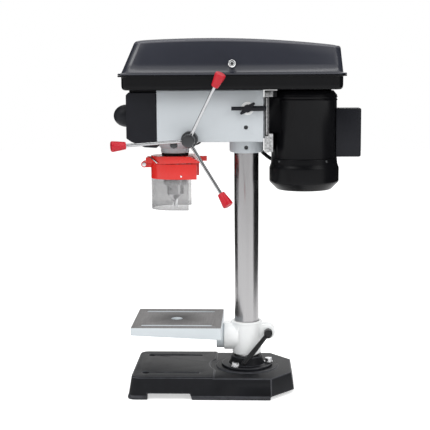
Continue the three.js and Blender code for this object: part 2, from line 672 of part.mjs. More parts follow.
const bumperTop = noseBottom - gap;
add('quill_bumper', ring(quillBore, bumper.outer, quillAxis, 'z', bumperTop - bumper.height, bumperTop,
  24), rubber);

// Feed: pinion shaft, dial ring, hub, three arms and their grips
const feedAxis = [feed.x, 0, feedZ];
const dialBack = -head.half - gap;
const dialFront = dialBack - feed.ringLength;
const hubFront = dialFront - feed.hubLength;
const armRootY = dialFront - feed.armY;
const shaftEnd = armRootY + 2 * feed.armRadius;
const journalStart = gap + Math.sqrt(quill.radius ** 2 - (feed.x - spindleX - feed.journal - gap) ** 2);
const capFace = head.half + gap;
const capEnd = capFace + springCap.depth;
function makePinion() {
  const shape = new THREE.Shape();
  const step = turn / feed.teeth;
  const shares = { root: 0.31, tip: 0.12 };
  for (let i = 0; i < feed.teeth; i += 1) {
    const middle = turn / 2 + i * step;
    const corners = [
      [pinionRoot, -shares.root], [pinionTip, -shares.tip], [pinionTip, shares.tip], [pinionRoot,
        shares.root],
    ];
    corners.forEach(([radius, share], k) => {
      const angle = middle + share * step;
      const place = [feed.x + radius * Math.cos(angle), feedZ + radius * Math.sin(angle)];
      if (i === 0 && k === 0) shape.moveTo(...place);
      else shape.lineTo(...place);
    });
  }
  shape.closePath();
  return join(
    extruded(shape, 'y', -feed.faceHalf, feed.faceHalf),
    rod(feed.shaft, feedAxis, 'y', shaftEnd, gap - feed.faceHalf, 12),
    rod(pinionRoot, feedAxis, 'y', feed.faceHalf - gap, journalStart + gap, 16),
    rod(feed.journal, feedAxis, 'y', journalStart, head.half - gap, 18),
    rod(springCap.stub, feedAxis, 'y', head.half - bite, capEnd - springCap.wall - gap, 12),
  );
}
add('pinion_shaft', makePinion(), brightSteel);

add('depth_dial', turned([
  [feed.shaft + gap, dialBack],
  [feed.ring, dialBack],
  [feed.ring, dialFront + gap + feed.ringEdge],
  [feed.ring - feed.ringEdge, dialFront + gap],
  [feed.shaft + gap, dialFront + gap],
  [feed.shaft + gap, dialBack],
], feedAxis, 'y', 20), darkSteel);

const arms = Array.from({ length: feed.armCount }, (_, i) => {
  const angle = (feed.armPhase / 360 + i / feed.armCount) * turn;
  const at = (radius, y) => new THREE.Vector3(
    feed.x + radius * Math.cos(angle), y, feedZ + radius * Math.sin(angle));
  const start = at(feed.armRoot, armRootY);
  const end = at(feed.armReach, dialFront - feed.armEndY);
  return { start, end, along: end.clone().sub(start).normalize(), length: end.distanceTo(start) };
});
add('feed_hub', cut(
  turned([
    [0, dialFront],
    [feed.hub, dialFront],
    [feed.hub, hubFront + feed.hubEdge],
    [feed.hub - feed.hubEdge, hubFront],
    [0, hubFront],
  ], feedAxis, 'y', 10),
  rod(feed.shaft + gap, feedAxis, 'y', shaftEnd - gap, dialFront + over, 12),
  ...arms.map(({ start, along }) =>
    rod(feed.armRadius + gap, start.toArray(), along, -gap, feed.hub + over, 10)),
), blackPaint);
arms.forEach(({ start, along, length }, i) => {
  add(`feed_arm_${i + 1}`, rod(feed.armRadius, start.toArray(), along, 0, length, 10), brightSteel);
  const inner = length - feed.knobOver;
  const outer = inner + feed.knobLength;
  const grip = turned([
    [0, inner],
    [feed.knobThin - feed.knobEdge, inner],
    [feed.knobThin, inner + feed.knobEdge],
    [feed.knobThick, outer - feed.knobRound],
    [feed.knobThick - feed.knobEdge, outer - feed.knobEdge],
    [feed.knobThick - feed.knobRound, outer],
    [0, outer],
  ], start.toArray(), along, 12);
  const bore = rod(feed.armRadius + gap, start.toArray(), along, inner - over, length + gap, 10);
  add(`feed_grip_${i + 1}`, cut(grip, bore), redGrip);
});

// Quill return spring in its cap, on the far side
add('spring_cap', turned([
  [springCap.radius - springCap.wall, capFace],
  [springCap.radius, capFace],
  [springCap.radius, capEnd - springCap.wall],
  [springCap.radius - springCap.wall, capEnd],
  [0, capEnd],
  [0, capEnd - springCap.wall],
  [springCap.radius - springCap.wall, capEnd - springCap.wall],
  [springCap.radius - springCap.wall, capFace],
], feedAxis, 'y', 20), blackPaint);

function makeReturnSpring() {
  const inner = springCap.stub + gap;
  const outer = springCap.radius - springCap.wall - gap - springCap.stripThick;
  const steps = springCap.turns * springCap.turnSteps;
  const edge = (thickness) => Array.from({ length: steps + 1 }, (_, i) => {
    const angle = i / steps * springCap.turns * turn;
    const radius = inner + (outer - inner) * i / steps + thickness;
    return [feed.x + radius * Math.cos(angle), feedZ + radius * Math.sin(angle)];
  });
  const strip = polygon([...edge(springCap.stripThick), ...edge(0).reverse()]);
  return extruded(strip, 'y', capFace + springCap.stripInset,
    capEnd - springCap.wall - springCap.stripInset);
}
add('return_spring', makeReturnSpring(), darkSteel);

// Keyed drill chuck
function makeChuckBody() {
  const body = turned([
    [0, chuck.nose],
    [chuck.noseRadius, chuck.nose],
    [chuck.body, chuck.bodyBottom],
    [chuck.body, chuck.coreBottom - gap],
    [chuck.core, chuck.coreBottom],
    [chuck.core, chuck.shoulder],
    [chuck.crown, chuck.shoulder + gap],
    [chuck.crown, chuck.top - gap],
    [0, chuck.top - gap],
  ], quillAxis, 'z', 20);
  const taper = turned([
    [0, spindle.nose - gap],
    [spindle.taperTip + gap, spindle.nose - gap],
    [spindle.taperTop + gap, chuck.top],
    [spindle.taperTop + gap, chuck.top + over],
    [0, chuck.top + over],
  ], quillAxis, 'z', 18);
  const keyHoles = jaws.map(({ angle }) => {
    const out = new THREE.Vector3(Math.cos(angle + turn / 6), Math.sin(angle + turn / 6), 0);
    return rod(chuck.keyRadius, [spindleX, 0, chuck.keyZ], out, chuck.body - chuck.keyDepth,
      chuck.body + over, 10);
  });
  const jawBores = jaws.map(({ tip, along }) =>
    rod(jaw.radius + gap, tip.toArray(), along, 0, jaw.length + jaw.room, 12));
  return cut(body, taper, ...keyHoles, ...jawBores);
}
const jaws = Array.from({ length: jaw.count }, (_, i) => {
  const angle = (0.5 + i) * turn / jaw.count;
  const lean = jaw.lean / 360 * turn;
  return {
    angle,
    tip: new THREE.Vector3(spindleX + jaw.tipX * Math.cos(angle), jaw.tipX * Math.sin(angle), jaw.tipZ),
    along: new THREE.Vector3(Math.sin(lean) * Math.cos(angle), Math.sin(lean) * Math.sin(angle),
      Math.cos(lean)),
  };
});
add('chuck_body', makeChuckBody(), brightSteel);

function makeSleeve() {
  const bore = chuck.core + gap;
  const low = chuck.coreBottom + gap;
  const high = chuck.shoulder;
  const shape = new THREE.Shape();
  const step = turn / chuck.teeth;
  const shares = { land: 0.22, valley: 0.36 };
  for (let i = 0; i < chuck.teeth; i += 1) {
    [[chuck.sleeve, -shares.valley], [chuck.sleeve + chuck.tooth, -shares.land],
      [chuck.sleeve + chuck.tooth, shares.land], [chuck.sleeve, shares.valley]].forEach(([radius, share],
        k) => {
      const angle = (i + share) * step;
      const place = [spindleX + radius * Math.cos(angle), radius * Math.sin(angle)];
      if (i === 0 && k === 0) shape.moveTo(...place);
      else shape.lineTo(...place);
    });
  }
  shape.closePath();
  return cut(
    join(extruded(shape, 'z', low, low + chuck.toothHeight), rod(chuck.sleeve, quillAxis, 'z', low, high,
      24)),
    rod(bore, quillAxis, 'z', low - over, high + over, 20),
  );
}
add('chuck_sleeve', makeSleeve(), brightSteel);

// Each jaw keeps to its own third of a turn, with half a gap to each neighbour
jaws.forEach(({ angle, tip, along }, i) => {
  const reach = chuck.crown;
  const side = (sign) => angle + sign * turn / 6;
  const inset = gap / 2 / Math.sin(turn / 6);
  const apex = [spindleX + inset * Math.cos(angle), inset * Math.sin(angle)];
  const third = extruded(polygon([
    apex,
    [apex[0] + 2 * reach * Math.cos(side(-1)), apex[1] + 2 * reach * Math.sin(side(-1))],
    [apex[0] + 2 * reach * Math.cos(angle), apex[1] + 2 * reach * Math.sin(angle)],
    [apex[0] + 2 * reach * Math.cos(side(1)), apex[1] + 2 * reach * Math.sin(side(1))],
  ]), 'z', jaw.tipZ, chuck.shoulder);
  const body = rod(jaw.radius, tip.toArray(), along, -over, jaw.length, 12);
  add(`chuck_jaw_${i + 1}`, meet(body, third), brightSteel);
});

// Chuck guard: a bracket on the quill, a frame that swings on a pin, and the clear shield
function guardPlan(radius, rear) {
  const shape = new THREE.Shape();
  shape.moveTo(rear, -radius);
  shape.lineTo(rear, radius);
  shape.absarc(guard.x, 0, radius, turn / 4, 3 * turn / 4);
  shape.closePath();
  return shape;
}
const pinAxis = [guard.pinX, 0, guard.pinZ];
const skirtLow = guard.frameTop + gap;
function makeGuardBracket() {
  const roofRear = guard.rear - guard.roofReach;
  const profile = extruded(polygon([
    [guard.pinX, skirtLow],
    [guard.wedgeFront, skirtLow],
    [guard.rear + guard.roofReach / 2, skirtLow + guard.wedgeRise],
    [guard.rear + guard.roofReach / 2, guard.top - guard.roofDrop],
    [roofRear, guard.top],
    [guard.pinX, guard.top],
  ]), 'y', -2 * guard.radius, 2 * guard.radius);
  const plan = extruded(guardPlan(guard.radius, guard.rear + guard.roofReach / 2), 'z', skirtLow,
    guard.top, 0, 10);
  const inside = extruded(polygon([
    [guard.pinX, skirtLow - over],
    [guard.rear + guard.roofReach, skirtLow - over],
    [guard.rear + guard.roofReach, guard.top - guard.roofDrop - guard.plate],
    [roofRear - guard.plate / 2, guard.top - guard.plate],
    [guard.pinX, guard.top - guard.plate],
  ]), 'y', -2 * guard.radius, 2 * guard.radius);
  const innerPlan = extruded(guardPlan(guard.radius - guard.wall, guard.rear + guard.roofReach), 'z',
    skirtLow - over, guard.top + over, 0, 10);
  const hub = rod(guard.hub, quillAxis, 'z', skirtLow, guard.top, 20);
  const cheeks = [-1, 1].map((sign) => {
    const from = sign * (guard.tabHalf + gap);
    const to = sign * (guard.tabHalf + gap + guard.lugHalf);
    return join(
      rod(guard.lug, pinAxis, 'y', Math.min(from, to), Math.max(from, to), 12),
      slab(guard.pinX, guard.x - guard.radius + guard.wall, Math.min(from, to), Math.max(from, to),
        skirtLow, guard.pinZ + guard.lug),
      slab(guard.pinX + guard.lug / 2, guard.x - guard.radius + guard.wall, Math.min(from, to),
        Math.max(from, to),
        skirtLow, guard.top - guard.plate),
    );
  });
  const ear = slab(guard.rear, guard.rear + guard.earLength, -guard.lugHalf, guard.lugHalf,
    skirtLow + guard.plate, guard.top - guard.plate / 2);
  return cut(
    join(cut(meet(profile, plan), meet(inside, innerPlan)), hub, ear, ...cheeks),
    rod(quillBore, quillAxis, 'z', skirtLow - over, guard.top + over, 24),
    rod(guard.pinRadius + gap, pinAxis, 'y', -2 * guard.pinHalf, 2 * guard.pinHalf, 10),
    rod(guard.lug + gap, pinAxis, 'y', -guard.tabHalf - gap, guard.tabHalf + gap, 12),
  );
}
add('guard_bracket', makeGuardBracket(), redPlastic);

const pinEnd = guard.tabHalf + guard.lugHalf + 2 * gap;
add('guard_pin', join(
  rod(guard.pinRadius, pinAxis, 'y', -pinEnd, pinEnd, 10),
  rod(2 * guard.pinRadius, pinAxis, 'y', -pinEnd - guard.plate / 2, -pinEnd, 10),
), brightSteel);

// The bright spring wire on the bracket's near wall
function bentWire(points, radius, steps, sides) {
  const section = new THREE.Shape();
  section.absarc(0, 0, radius, 0, turn);
  return solid(new THREE.ExtrudeGeometry(section, {
    steps,
    curveSegments: sides,
    extrudePath: new THREE.CatmullRomCurve3(points),
  }));
}
add('guard_spring', bentWire(
  guardSpring.x.map((x, i) => new THREE.Vector3(x, guardSpring.y[i],
    guardSpring.z[i])), guardSpring.wire, 6, 4,
), brightSteel);

const shieldOuter = guard.radius - guard.wall - gap;
function makeGuardFrame() {
  const height = [guard.frameBottom, guard.frameTop];
  const band = cut(
    extruded(guardPlan(guard.radius, guard.rear), 'z', ...height, 0, 10),
    extruded(guardPlan(guard.radius - guard.wall, guard.rear + over), 'z', guard.frameBottom - over,
      guard.frameTop + over, 0, 10),
  );
  const tab = join(
    rod(guard.lug, pinAxis, 'y', -guard.tabHalf, guard.tabHalf, 12),
    slab(guard.pinX, guard.x - guard.radius + guard.wall / 2, -guard.tabHalf, guard.tabHalf,
      guard.pinZ - guard.lug, guard.frameTop),
  );
  return cut(join(band, tab), rod(guard.pinRadius + gap, pinAxis, 'y', -2 * guard.pinHalf,
    2 * guard.pinHalf, 10));
}
add('guard_frame', makeGuardFrame(), redPlastic);

const shieldTop = guard.frameTop - guard.wall;
const shieldStep = guard.frameBottom - gap - guard.shieldStep;
const shieldPlan = (radius, rear, low, high) => extruded(guardPlan(radius, rear), 'z', low, high, 0, 10);
const shieldInner = shieldOuter - guard.shieldWall;
add('guard_shield', cut(
  join(
    shieldPlan(shieldOuter, guard.shieldRear, shieldStep, shieldTop),
    shieldPlan(guard.radius, guard.shieldRear, guard.shieldBottom, guard.frameBottom - gap),
  ),
  shieldPlan(shieldInner, guard.shieldRear + over, shieldStep - over, shieldTop + over),
  shieldPlan(guard.radius - guard.shieldWall, guard.shieldRear + over, guard.shieldBottom - over,
    shieldStep),
), smoke);

// Stepped pulleys and the belt on their middle step
const stepHeight = (lid.crownTop - pulley.headroom - pulley.bottom) / pulley.steps;
const stackTop = pulley.bottom + pulley.steps * stepHeight;
function groovedProfile(radii, bore) {
  const points = [[bore, pulley.bottom]];
  radii.forEach((radius, i) => {
    const low = pulley.bottom + i * stepHeight;
    const high = low + stepHeight;
    const middle = (low + high) / 2;
    points.push([radius, low], [radius, low + pulley.lip], [radius - pulley.groove, middle],
      [radius, high - pulley.lip]);
  });
  points.push([radii.at(-1), stackTop], [bore, stackTop]);
  return points;
}
const driveBore = spindle.drive + gap;
add('spindle_pulley', cut(join(
  turned([...groovedProfile(pulley.radii, 0)], quillAxis, 'z', 18),
  rod(pulley.sleeve, quillAxis, 'z', quill.top + spindle.driveRun, pulley.bottom + bite, 18),
), rod(driveBore, quillAxis, 'z', quill.top, stackTop + over, 18)), aluminium);

const motorAxis = [motor.x, 0, 0];
add('motor_pulley', cut(
  turned([...groovedProfile([...pulley.radii].reverse(), 0)], motorAxis, 'z', 18),
  rod(motor.shaft + gap, motorAxis, 'z', pulley.bottom - over, stackTop + over, 12),
), aluminium);

function beltLoop(radius, z) {
  const shape = new THREE.Shape();
  shape.absarc(motor.x, 0, radius, -turn / 4, turn / 4);
  shape.absarc(spindleX, 0, radius, turn / 4, 3 * turn / 4);
  const points = shape.getPoints(9).map((point) => [point.x, point.y, z]);
  return points.filter(([x, y], i) => i === 0 || Math.hypot(x - points[i - 1][0],
    y - points[i - 1][1]) > gap);
}
function makeBelt() {
  const step = (pulley.steps - 1) / 2;
  const middle = pulley.bottom + (step + 0.5) * stepHeight;
  const outer = pulley.radii[step] - gap;
  const inner = pulley.radii[step] - pulley.groove / 2;
  const wide = stepHeight / 2 - pulley.lip - 2 * gap;
  const narrow = (stepHeight / 2 - pulley.lip) / 2 - 2 * gap;
  return looped([
    beltLoop(outer, middle - wide),
    beltLoop(outer, middle + wide),
    beltLoop(inner, middle + narrow),
    beltLoop(inner, middle - narrow),
  ]);
}
add('v_belt', makeBelt(), rubber);

// Belt housing and its hinged lid
const housingTop = housing.bottom + housing.height;
function coverRing(x0, x1, half, radius, height, bays = 1) {
  const corner = (x, y, start) => Array.from({ length: 4 }, (_, i) => {
    const angle = start + i / 3 * turn / 4;
    return [x + radius * Math.cos(angle), y + radius * Math.sin(angle)];
  });
  const side = (from, to, y) => Array.from({ length: bays - 1 }, (_,
    i) => [from + (to - from) * (i + 1) / bays, y]);
  const a0 = x0 + radius;
  const a1 = x1 - radius;
  const points = [
    ...corner(a1, radius - half, -turn / 4),
    ...corner(a1, half - radius, 0),
    ...side(a1, a0, half),
    ...corner(a0, half - radius, turn / 4),
    ...corner(a0, radius - half, turn / 2),
    ...side(a0, a1, -half),
  ];
  return points.map(([x, y]) => [x, y, typeof height === 'function' ? height(x) : height]);
}
const housingRing = (grow, z) => coverRing(housing.front - grow, housing.rear + grow, housing.half + grow,
  housing.corner + grow, z);
const hingeY = housing.half + housing.flange + hinge.reach;
const hingeZ = housingTop + gap / 2;
const hingeSpots = [hinge.front, hinge.rear];
const barrel = (x, half) => rod(hinge.barrel, [0, hingeY, hingeZ], 'x', x - half, x + half, 12);

function makeHousing() {
  const outer = lofted([
    housingRing(-housing.belly, housing.bottom),
    housingRing(-housing.belly / 3, housing.bottom + housing.bellyRise / 3),
    housingRing(-gap, housing.bottom + housing.bellyRise),
    housingRing(0, housingTop - housing.flangeThick - gap),
    housingRing(housing.flange, housingTop - housing.flangeThick),
    housingRing(housing.flange, housingTop),
  ]);
  const inner = lofted([
    housingRing(-housing.belly - housing.wall, housing.bottom + housing.wall),
    housingRing(-housing.wall, housing.bottom + housing.wall + housing.bellyRise),
    housingRing(-housing.wall, housingTop + over),
  ]);
  const leaves = hingeSpots.flatMap((x) => [-1, 1].map((sign) => {
    const middle = x + sign * (hinge.half + gap + hinge.leaf / 2);
    return join(barrel(middle, hinge.leaf / 2), slab(middle - hinge.leaf / 2, middle + hinge.leaf / 2,
      housing.half + bite, hingeY, housingTop - housing.flangeThick, housingTop));
  }));
  const pins = hingeSpots.map((x) =>
    rod(hinge.pin, [0, hingeY, hingeZ], 'x', x - hinge.half - hinge.pinBite,
      x + hinge.half + hinge.pinBite, 10));
  return cut(
    join(cut(outer, inner), ...leaves, ...pins),
    rod(housing.hub, quillAxis, 'z', housing.bottom - over, housing.bottom + 2 * over, 18),
    rod(housing.motorHole, motorAxis, 'z', housing.bottom - over, housing.bottom + 2 * over, 18),
  );
}
add('belt_housing', makeHousing(), blackPaint);

const lidBottom = housingTop + gap;
const crown = (drop) => (x) => {
  const share = (x - lid.crownX) / (housing.rear - housing.front);
  return lid.crownTop - drop - lid.crownFall * share * share;
};
function lidForm(inset, low) {
  const bays = 6;
  const corner = housing.corner - inset;
  const foot = (z) =>
    coverRing(housing.front + inset, housing.rear - inset, housing.half - inset, corner, z, bays);
  const crest = (grow, drop) =>
    coverRing(lid.topFront - grow, lid.topRear + grow, lid.topHalf + grow, corner, crown(drop), bays);
  return lofted([
    foot(low),
    foot(lidBottom + housing.flangeThick),
    crest(-inset, lid.edge + inset),
    crest(-inset - lid.edge, inset),
  ]);
}
function makeLid() {
  const rim = lofted([
    housingRing(housing.flange, lidBottom),
    housingRing(housing.flange, lidBottom + housing.flangeThick),
  ]);
  const lugs = hingeSpots.map((x) => join(barrel(x, hinge.half), slab(x - hinge.half, x + hinge.half,
    housing.half + bite, hingeY, lidBottom, lidBottom + housing.flangeThick)));
  const bores = hingeSpots.map((x) =>
    rod(hinge.pin + gap, [0, hingeY, hingeZ], 'x', x - hinge.half - over, x + hinge.half + over, 10));
  const knobHole = rod(lid.shank + gap, [lid.knobX, 0, lid.knobZ], 'y', -housing.half - over,
    -lid.topHalf, 12);
  return cut(join(lidForm(0, lidBottom), rim, ...lugs), lidForm(lid.wall, lidBottom - over), ...bores,
    knobHole);
}
add('belt_lid', makeLid(), coverPaint);

const knobFace = -housing.half + lid.knobGap;
add('lid_knob', cut(turned([
  [0, knobFace - lid.knobDepth],
  [lid.knob - lid.knobEdge, knobFace - lid.knobDepth],
  [lid.knob, knobFace - lid.knobDepth + lid.knobEdge],
  [lid.knob, knobFace],
  [lid.shank, knobFace],
  [lid.shank, knobFace + lid.shankLength],
  [0, knobFace + lid.shankLength],
], [lid.knobX, 0, lid.knobZ], 'y', 16),
hexagon(lid.boreRadius, [lid.knobX, 0, lid.knobZ], 'y', knobFace - lid.knobDepth - over,
  knobFace - lid.knobDepth / 2)), brightSteel);

// Motor: body with its foot, end bell, rotor with shaft and fan, capacitor box
function makeMotorBody() {
  const bore = motor.shaft + gap;
  const inner = motor.radius - motor.wall;
  const shell = turned([
    [inner, motor.seam],
    [motor.radius, motor.seam],
    [motor.radius, motor.rimZ],
    [motor.radius + motor.rim, motor.rimZ + motor.rim],
    [motor.radius + motor.rim, motor.rimZ + motor.rimHeight - motor.rim],
    [motor.radius - motor.rim, motor.rimZ + motor.rimHeight],
    [motor.radius - motor.cap / 2, motor.top - motor.cap / 4],
    [motor.capRadius, motor.top],
    [bore, motor.top],
    [bore, motor.top - 2 * motor.wall],
    [motor.capRadius, motor.top - 2 * motor.wall],
    [inner, motor.rimZ - motor.wall],
    [inner, motor.statorHigh],
    [motor.stator, motor.statorHigh],
    [motor.stator, motor.statorLow],
    [inner, motor.statorLow],
    [inner, motor.seam],
  ], motorAxis, 'z', 32);
  const foot = cut(
    slab(motor.footX, motor.x, -motor.footHalf, motor.footHalf, motor.footLow, motor.footHigh),
    rod(motor.radius - motor.wall / 2, motorAxis, 'z', motor.footLow - over, motor.footHigh + over, 32),
  );
  return join(shell, foot);
}
add('motor_body', makeMotorBody(), blackPaint);

const bellTop = motor.seam - gap;
const bellShell = turned([
  [0, bell.bottom],
  [bell.chin, bell.bottom],
  [bell.radius, bell.flareLow],
  [bell.radius, bell.flareHigh],
  [motor.radius + motor.rim, bell.neck],
  [motor.radius, bellTop],
  [motor.radius - bell.wall, bellTop],
  [motor.radius - bell.wall, bell.neck - bell.wall],
  [bell.radius - bell.wall, bell.flareHigh - bell.wall],
  [bell.radius - bell.wall, bell.flareLow],
  [bell.chin - bell.wall, bell.bottom + bell.wall],
  [0, bell.bottom + bell.wall],
], motorAxis, 'z', 32);
const leadGland = cut(
  rod(lead.gland, [0, lead.y, lead.glandZ], 'x', lead.glandX, motor.x, 12),
  rod(motor.radius - bell.wall / 2, motorAxis, 'z', bell.bottom, motor.seam, 32),
);
add('motor_end_bell', join(bellShell, leadGland), blackPaint);

const shaftLow = bell.bottom + bell.wall + gap;
add('motor_rotor', join(
  rod(motor.shaft, motorAxis, 'z', shaftLow, motor.pulleyTop, 12),
  rod(rotor.core, motorAxis, 'z', rotor.low, rotor.high, 20),
  rod(rotor.fan, motorAxis, 'z', rotor.fanZ, rotor.fanZ + rotor.fanPlate, 18),
  ...Array.from({ length: rotor.blades }, (_, i) => {
    const geometry = new THREE.BoxGeometry(
      rotor.fan - rotor.fanHub, 2 * rotor.bladeHalf, rotor.bladeHeight);
    geometry.translate((rotor.fan + rotor.fanHub) / 2, 0, rotor.fanZ + rotor.bladeHeight / 2);
    geometry.rotateZ(i * turn / rotor.blades);
    geometry.translate(motor.x, 0, 0);
    return solid(geometry);
  }),
), darkSteel);

function makeCapacitorBox() {
  const outline = roundedRectangle(capBox.front, capBox.rear, -capBox.half, capBox.half, capBox.edge);
  const shell = extruded(outline, 'z', capBox.low, capBox.high, capBox.edge / 2, 3);
  const hollow = slab(capBox.front - over, capBox.rear - capBox.wall, capBox.wall - capBox.half,
    capBox.half - capBox.wall, capBox.low + capBox.wall, capBox.high - capBox.wall);
  return cut(shell, hollow, rod(motor.radius + gap, motorAxis, 'z', capBox.low - over, capBox.high + over,
    32));
}
add('capacitor_box', makeCapacitorBox(), blackPlastic);

// Sliding motor mount: plate, two rods in the head, and the belt-tension lock
function makeMount() {
  const plate = extruded(
    roundedRectangle(-mountPlate.half, mountPlate.half, mountPlate.low, mountPlate.high, mountPlate.corner),
    'x', mountPlate.front, mountPlate.rear, 0, 3);
  const rib = slab(mountPlate.rear - bite, mountPlate.ribRear, -mountPlate.ribHalf, mountPlate.ribHalf,
    mountPlate.ribLow, mountPlate.ribTop);
  const gusset = slab(mountPlate.rear - bite, mountPlate.gussetRear, -mountPlate.gussetHalf,
    mountPlate.gussetHalf,
    mountPlate.gussetLow, mountPlate.high);
  const pocket = slab(mountPlate.front - over, mountPlate.front + mountPlate.pocketDepth,
    -head.padHalf - mountPlate.pocketRoom, head.padHalf + mountPlate.pocketRoom,
    head.padLow - mountPlate.pocketRoom, head.padHigh + mountPlate.pocketRoom);
  return cut(join(plate, rib, gusset), pocket,
    rod(motor.radius + gap, motorAxis, 'z', mountPlate.low - over, mountPlate.high + over, 32),
    ...[-slideRod.y, slideRod.y].map((y) =>
      rod(slideRod.radius + gap, [0, y, slideRod.z], 'x', mountPlate.front - over, mountPlate.rear + over,
        12)),
  );
}
add('motor_mount', makeMount(), greyPaint);
[-slideRod.y, slideRod.y].forEach((y, i) => {
  add(`slide_rod_${i + 1}`, rod(slideRod.radius, [0, y, slideRod.z], 'x', mountPlate.rear - slideRod.length,
    mountPlate.rear, 12), brightSteel);
});

function makeTensionLock() {
  const back = lockFace - gap;
  const front = back - lock.hubLength;
  const barY = back - lock.barY;
  const axis = [lock.x, 0, slideRod.z];
  const bar = (radius, from, to) => turned([
    [0, from], [radius - gap, from], [radius, from + gap], [radius, to - radius / 2],
    [radius / 2, to], [0, to],
  ], [lock.x, barY, slideRod.z], 'x', 10);
  const wing = new THREE.Vector3(lock.wingX, -lock.wingOut, lock.wingZ);
  const reach = wing.length();
  return join(
    rod(lock.stud, axis, 'y', back, -slideRod.y - slideRod.radius - gap, 12),
    rod(lock.hub, axis, 'y', front, back, 12),
    bar(lock.barThin, -lock.barLeft, bite),
    bar(lock.barThick, 0, lock.barRight),
    turned([[0, -reach], [lock.wingRadius / 2, -reach], [lock.wingRadius, -reach / 2], [lock.wingRadius,
      reach / 2],
      [lock.wingRadius / 2, reach], [0, reach]], [lock.x, barY, slideRod.z], wing, 10),
  );
}
add('tension_lock', makeTensionLock(), blackPlastic);

// The motor's lead, from the gland on the end bell up into the head
function makeLead() {
  const route = [
    [lead.x, slideRod.z - 2 * slideRod.radius - gap],
    [lead.x, (slideRod.z + headBottom) / 2],
    ...lead.bendX.map((x, i) => [x, lead.bendZ[i]]),
    [lead.glandX - gap, lead.glandZ],
  ].map(([x, z]) => new THREE.Vector3(x, lead.y, z));
  return bentWire(route, lead.radius, 14, 4);
}
add('motor_lead', makeLead(), rubber);

// Switch box on the front of the head, with its two buttons and the gland for the mains lead
function makeSwitchBox() {
  const profile = (inset, back) => polygon([
    [box.front + inset, box.sideLow],
    [box.chinX + inset / 2, box.chinZ + inset / 2],
    [box.heelX, box.heelZ + inset],
    [back, box.bottom + inset],
    [back, box.top - inset],
    [box.front + box.corner, box.top - inset],
    [box.front + inset, box.top - box.corner],
  ]);
  const shell = extruded(profile(0, box.rear), 'y', -box.half, box.half, box.edge);
  const hollow = extruded(profile(box.wall, box.rear - box.wall), 'y', box.wall - box.half,
    box.half - box.wall);
  const back = slab(box.rear - 2 * box.wall, box.rear + over, 2 * box.wall - box.half,
    box.half - 2 * box.wall,
    box.backLow, box.backHigh);
  const throughFront = [box.front - over, box.front + box.wall + over];
  return cut(shell, hollow, back,
    rod(stopButton.stem + gap, [0, 0, stopButton.z], 'x', ...throughFront, 12),
    rod(startButton.radius + gap, [0, 0, startButton.z], 'x', ...throughFront, 12),
    rod(gland.radius + gap, [gland.x, 0, gland.z], 'y', box.half - box.wall - over, box.half + over, 12),
  );
}
add('switch_box', makeSwitchBox(), blackPlastic);

const domeBack = box.front - gap - stopButton.travel;
const domeAxis = [0, 0, stopButton.z];
function makeStopButton() {
  const rise = stopButton.dome;
  const arc = Array.from({ length: 6 }, (_, i) => {
    const angle = (i + 1) / 6 * turn / 4;
    return [stopButton.radius * Math.cos(angle), domeBack - stopButton.skirt - rise * Math.sin(angle)];
  });
  const profile = [
    [0, domeBack],
    [stopButton.radius - gap, domeBack],
    [stopButton.radius, domeBack - gap],
    [stopButton.radius, domeBack - stopButton.skirt],
    ...arc.slice(0, -1),
    [0, arc.at(-1)[1]],
  ];
  return join(turned(profile, domeAxis, 'x', 18),
    rod(stopButton.stem, domeAxis, 'x', domeBack - gap, domeBack + stopButton.stemLength, 12));
}
add('stop_button', makeStopButton(), blackPlastic);

const startFace = box.front - startButton.proud;
add('start_button', turned([
  [0, startFace],
  [startButton.radius - gap, startFace],
  [startButton.radius, startFace + gap],
  [startButton.radius, startFace + startButton.stemLength],
  [0, startFace + startButton.stemLength],
], [0, 0, startButton.z], 'x', 12), greenPlastic);

const glandAxis = [gland.x, 0, gland.z];
add('cord_gland', cut(join(
  rod(gland.radius, glandAxis, 'y', box.half - box.wall - gland.nutLength / 2, box.half + gap, 12),
  hexagon(gland.nut, glandAxis, 'y', box.half + gap, box.half + gap + gland.nutLength),
  turned([
    [0, box.half + gap],
    [gland.radius, box.half + gap],
    [gland.radius, box.half + gland.length - gland.edge],
    [gland.radius - gland.edge, box.half + gland.length],
    [0, box.half + gland.length],
  ], glandAxis, 'y', 12),
), rod(gland.bore, glandAxis, 'y', 0, box.half + gland.length + over, 10)), blackPlastic);

// The origin is the middle of the underside of the whole press
const bounds = new THREE.Box3().setFromObject(press);
const middle = bounds.getCenter(new THREE.Vector3());
press.position.set(-middle.x, -middle.y, -bounds.min.z);

export default press;
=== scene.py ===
# %% [markdown]
# # A benchtop drill press
# The press stands on a cast base, with a ground column, a slotted table, a grey head and a belt
# cover on top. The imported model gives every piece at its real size, so this lesson never moves a
# part. It takes the plain solids one by one and gives each the rounded edges, the turned forms and
# the finish of the real machine.

# %% Load the frame
import json
import math

import bmesh
import bpy
from mathutils import Matrix, Vector

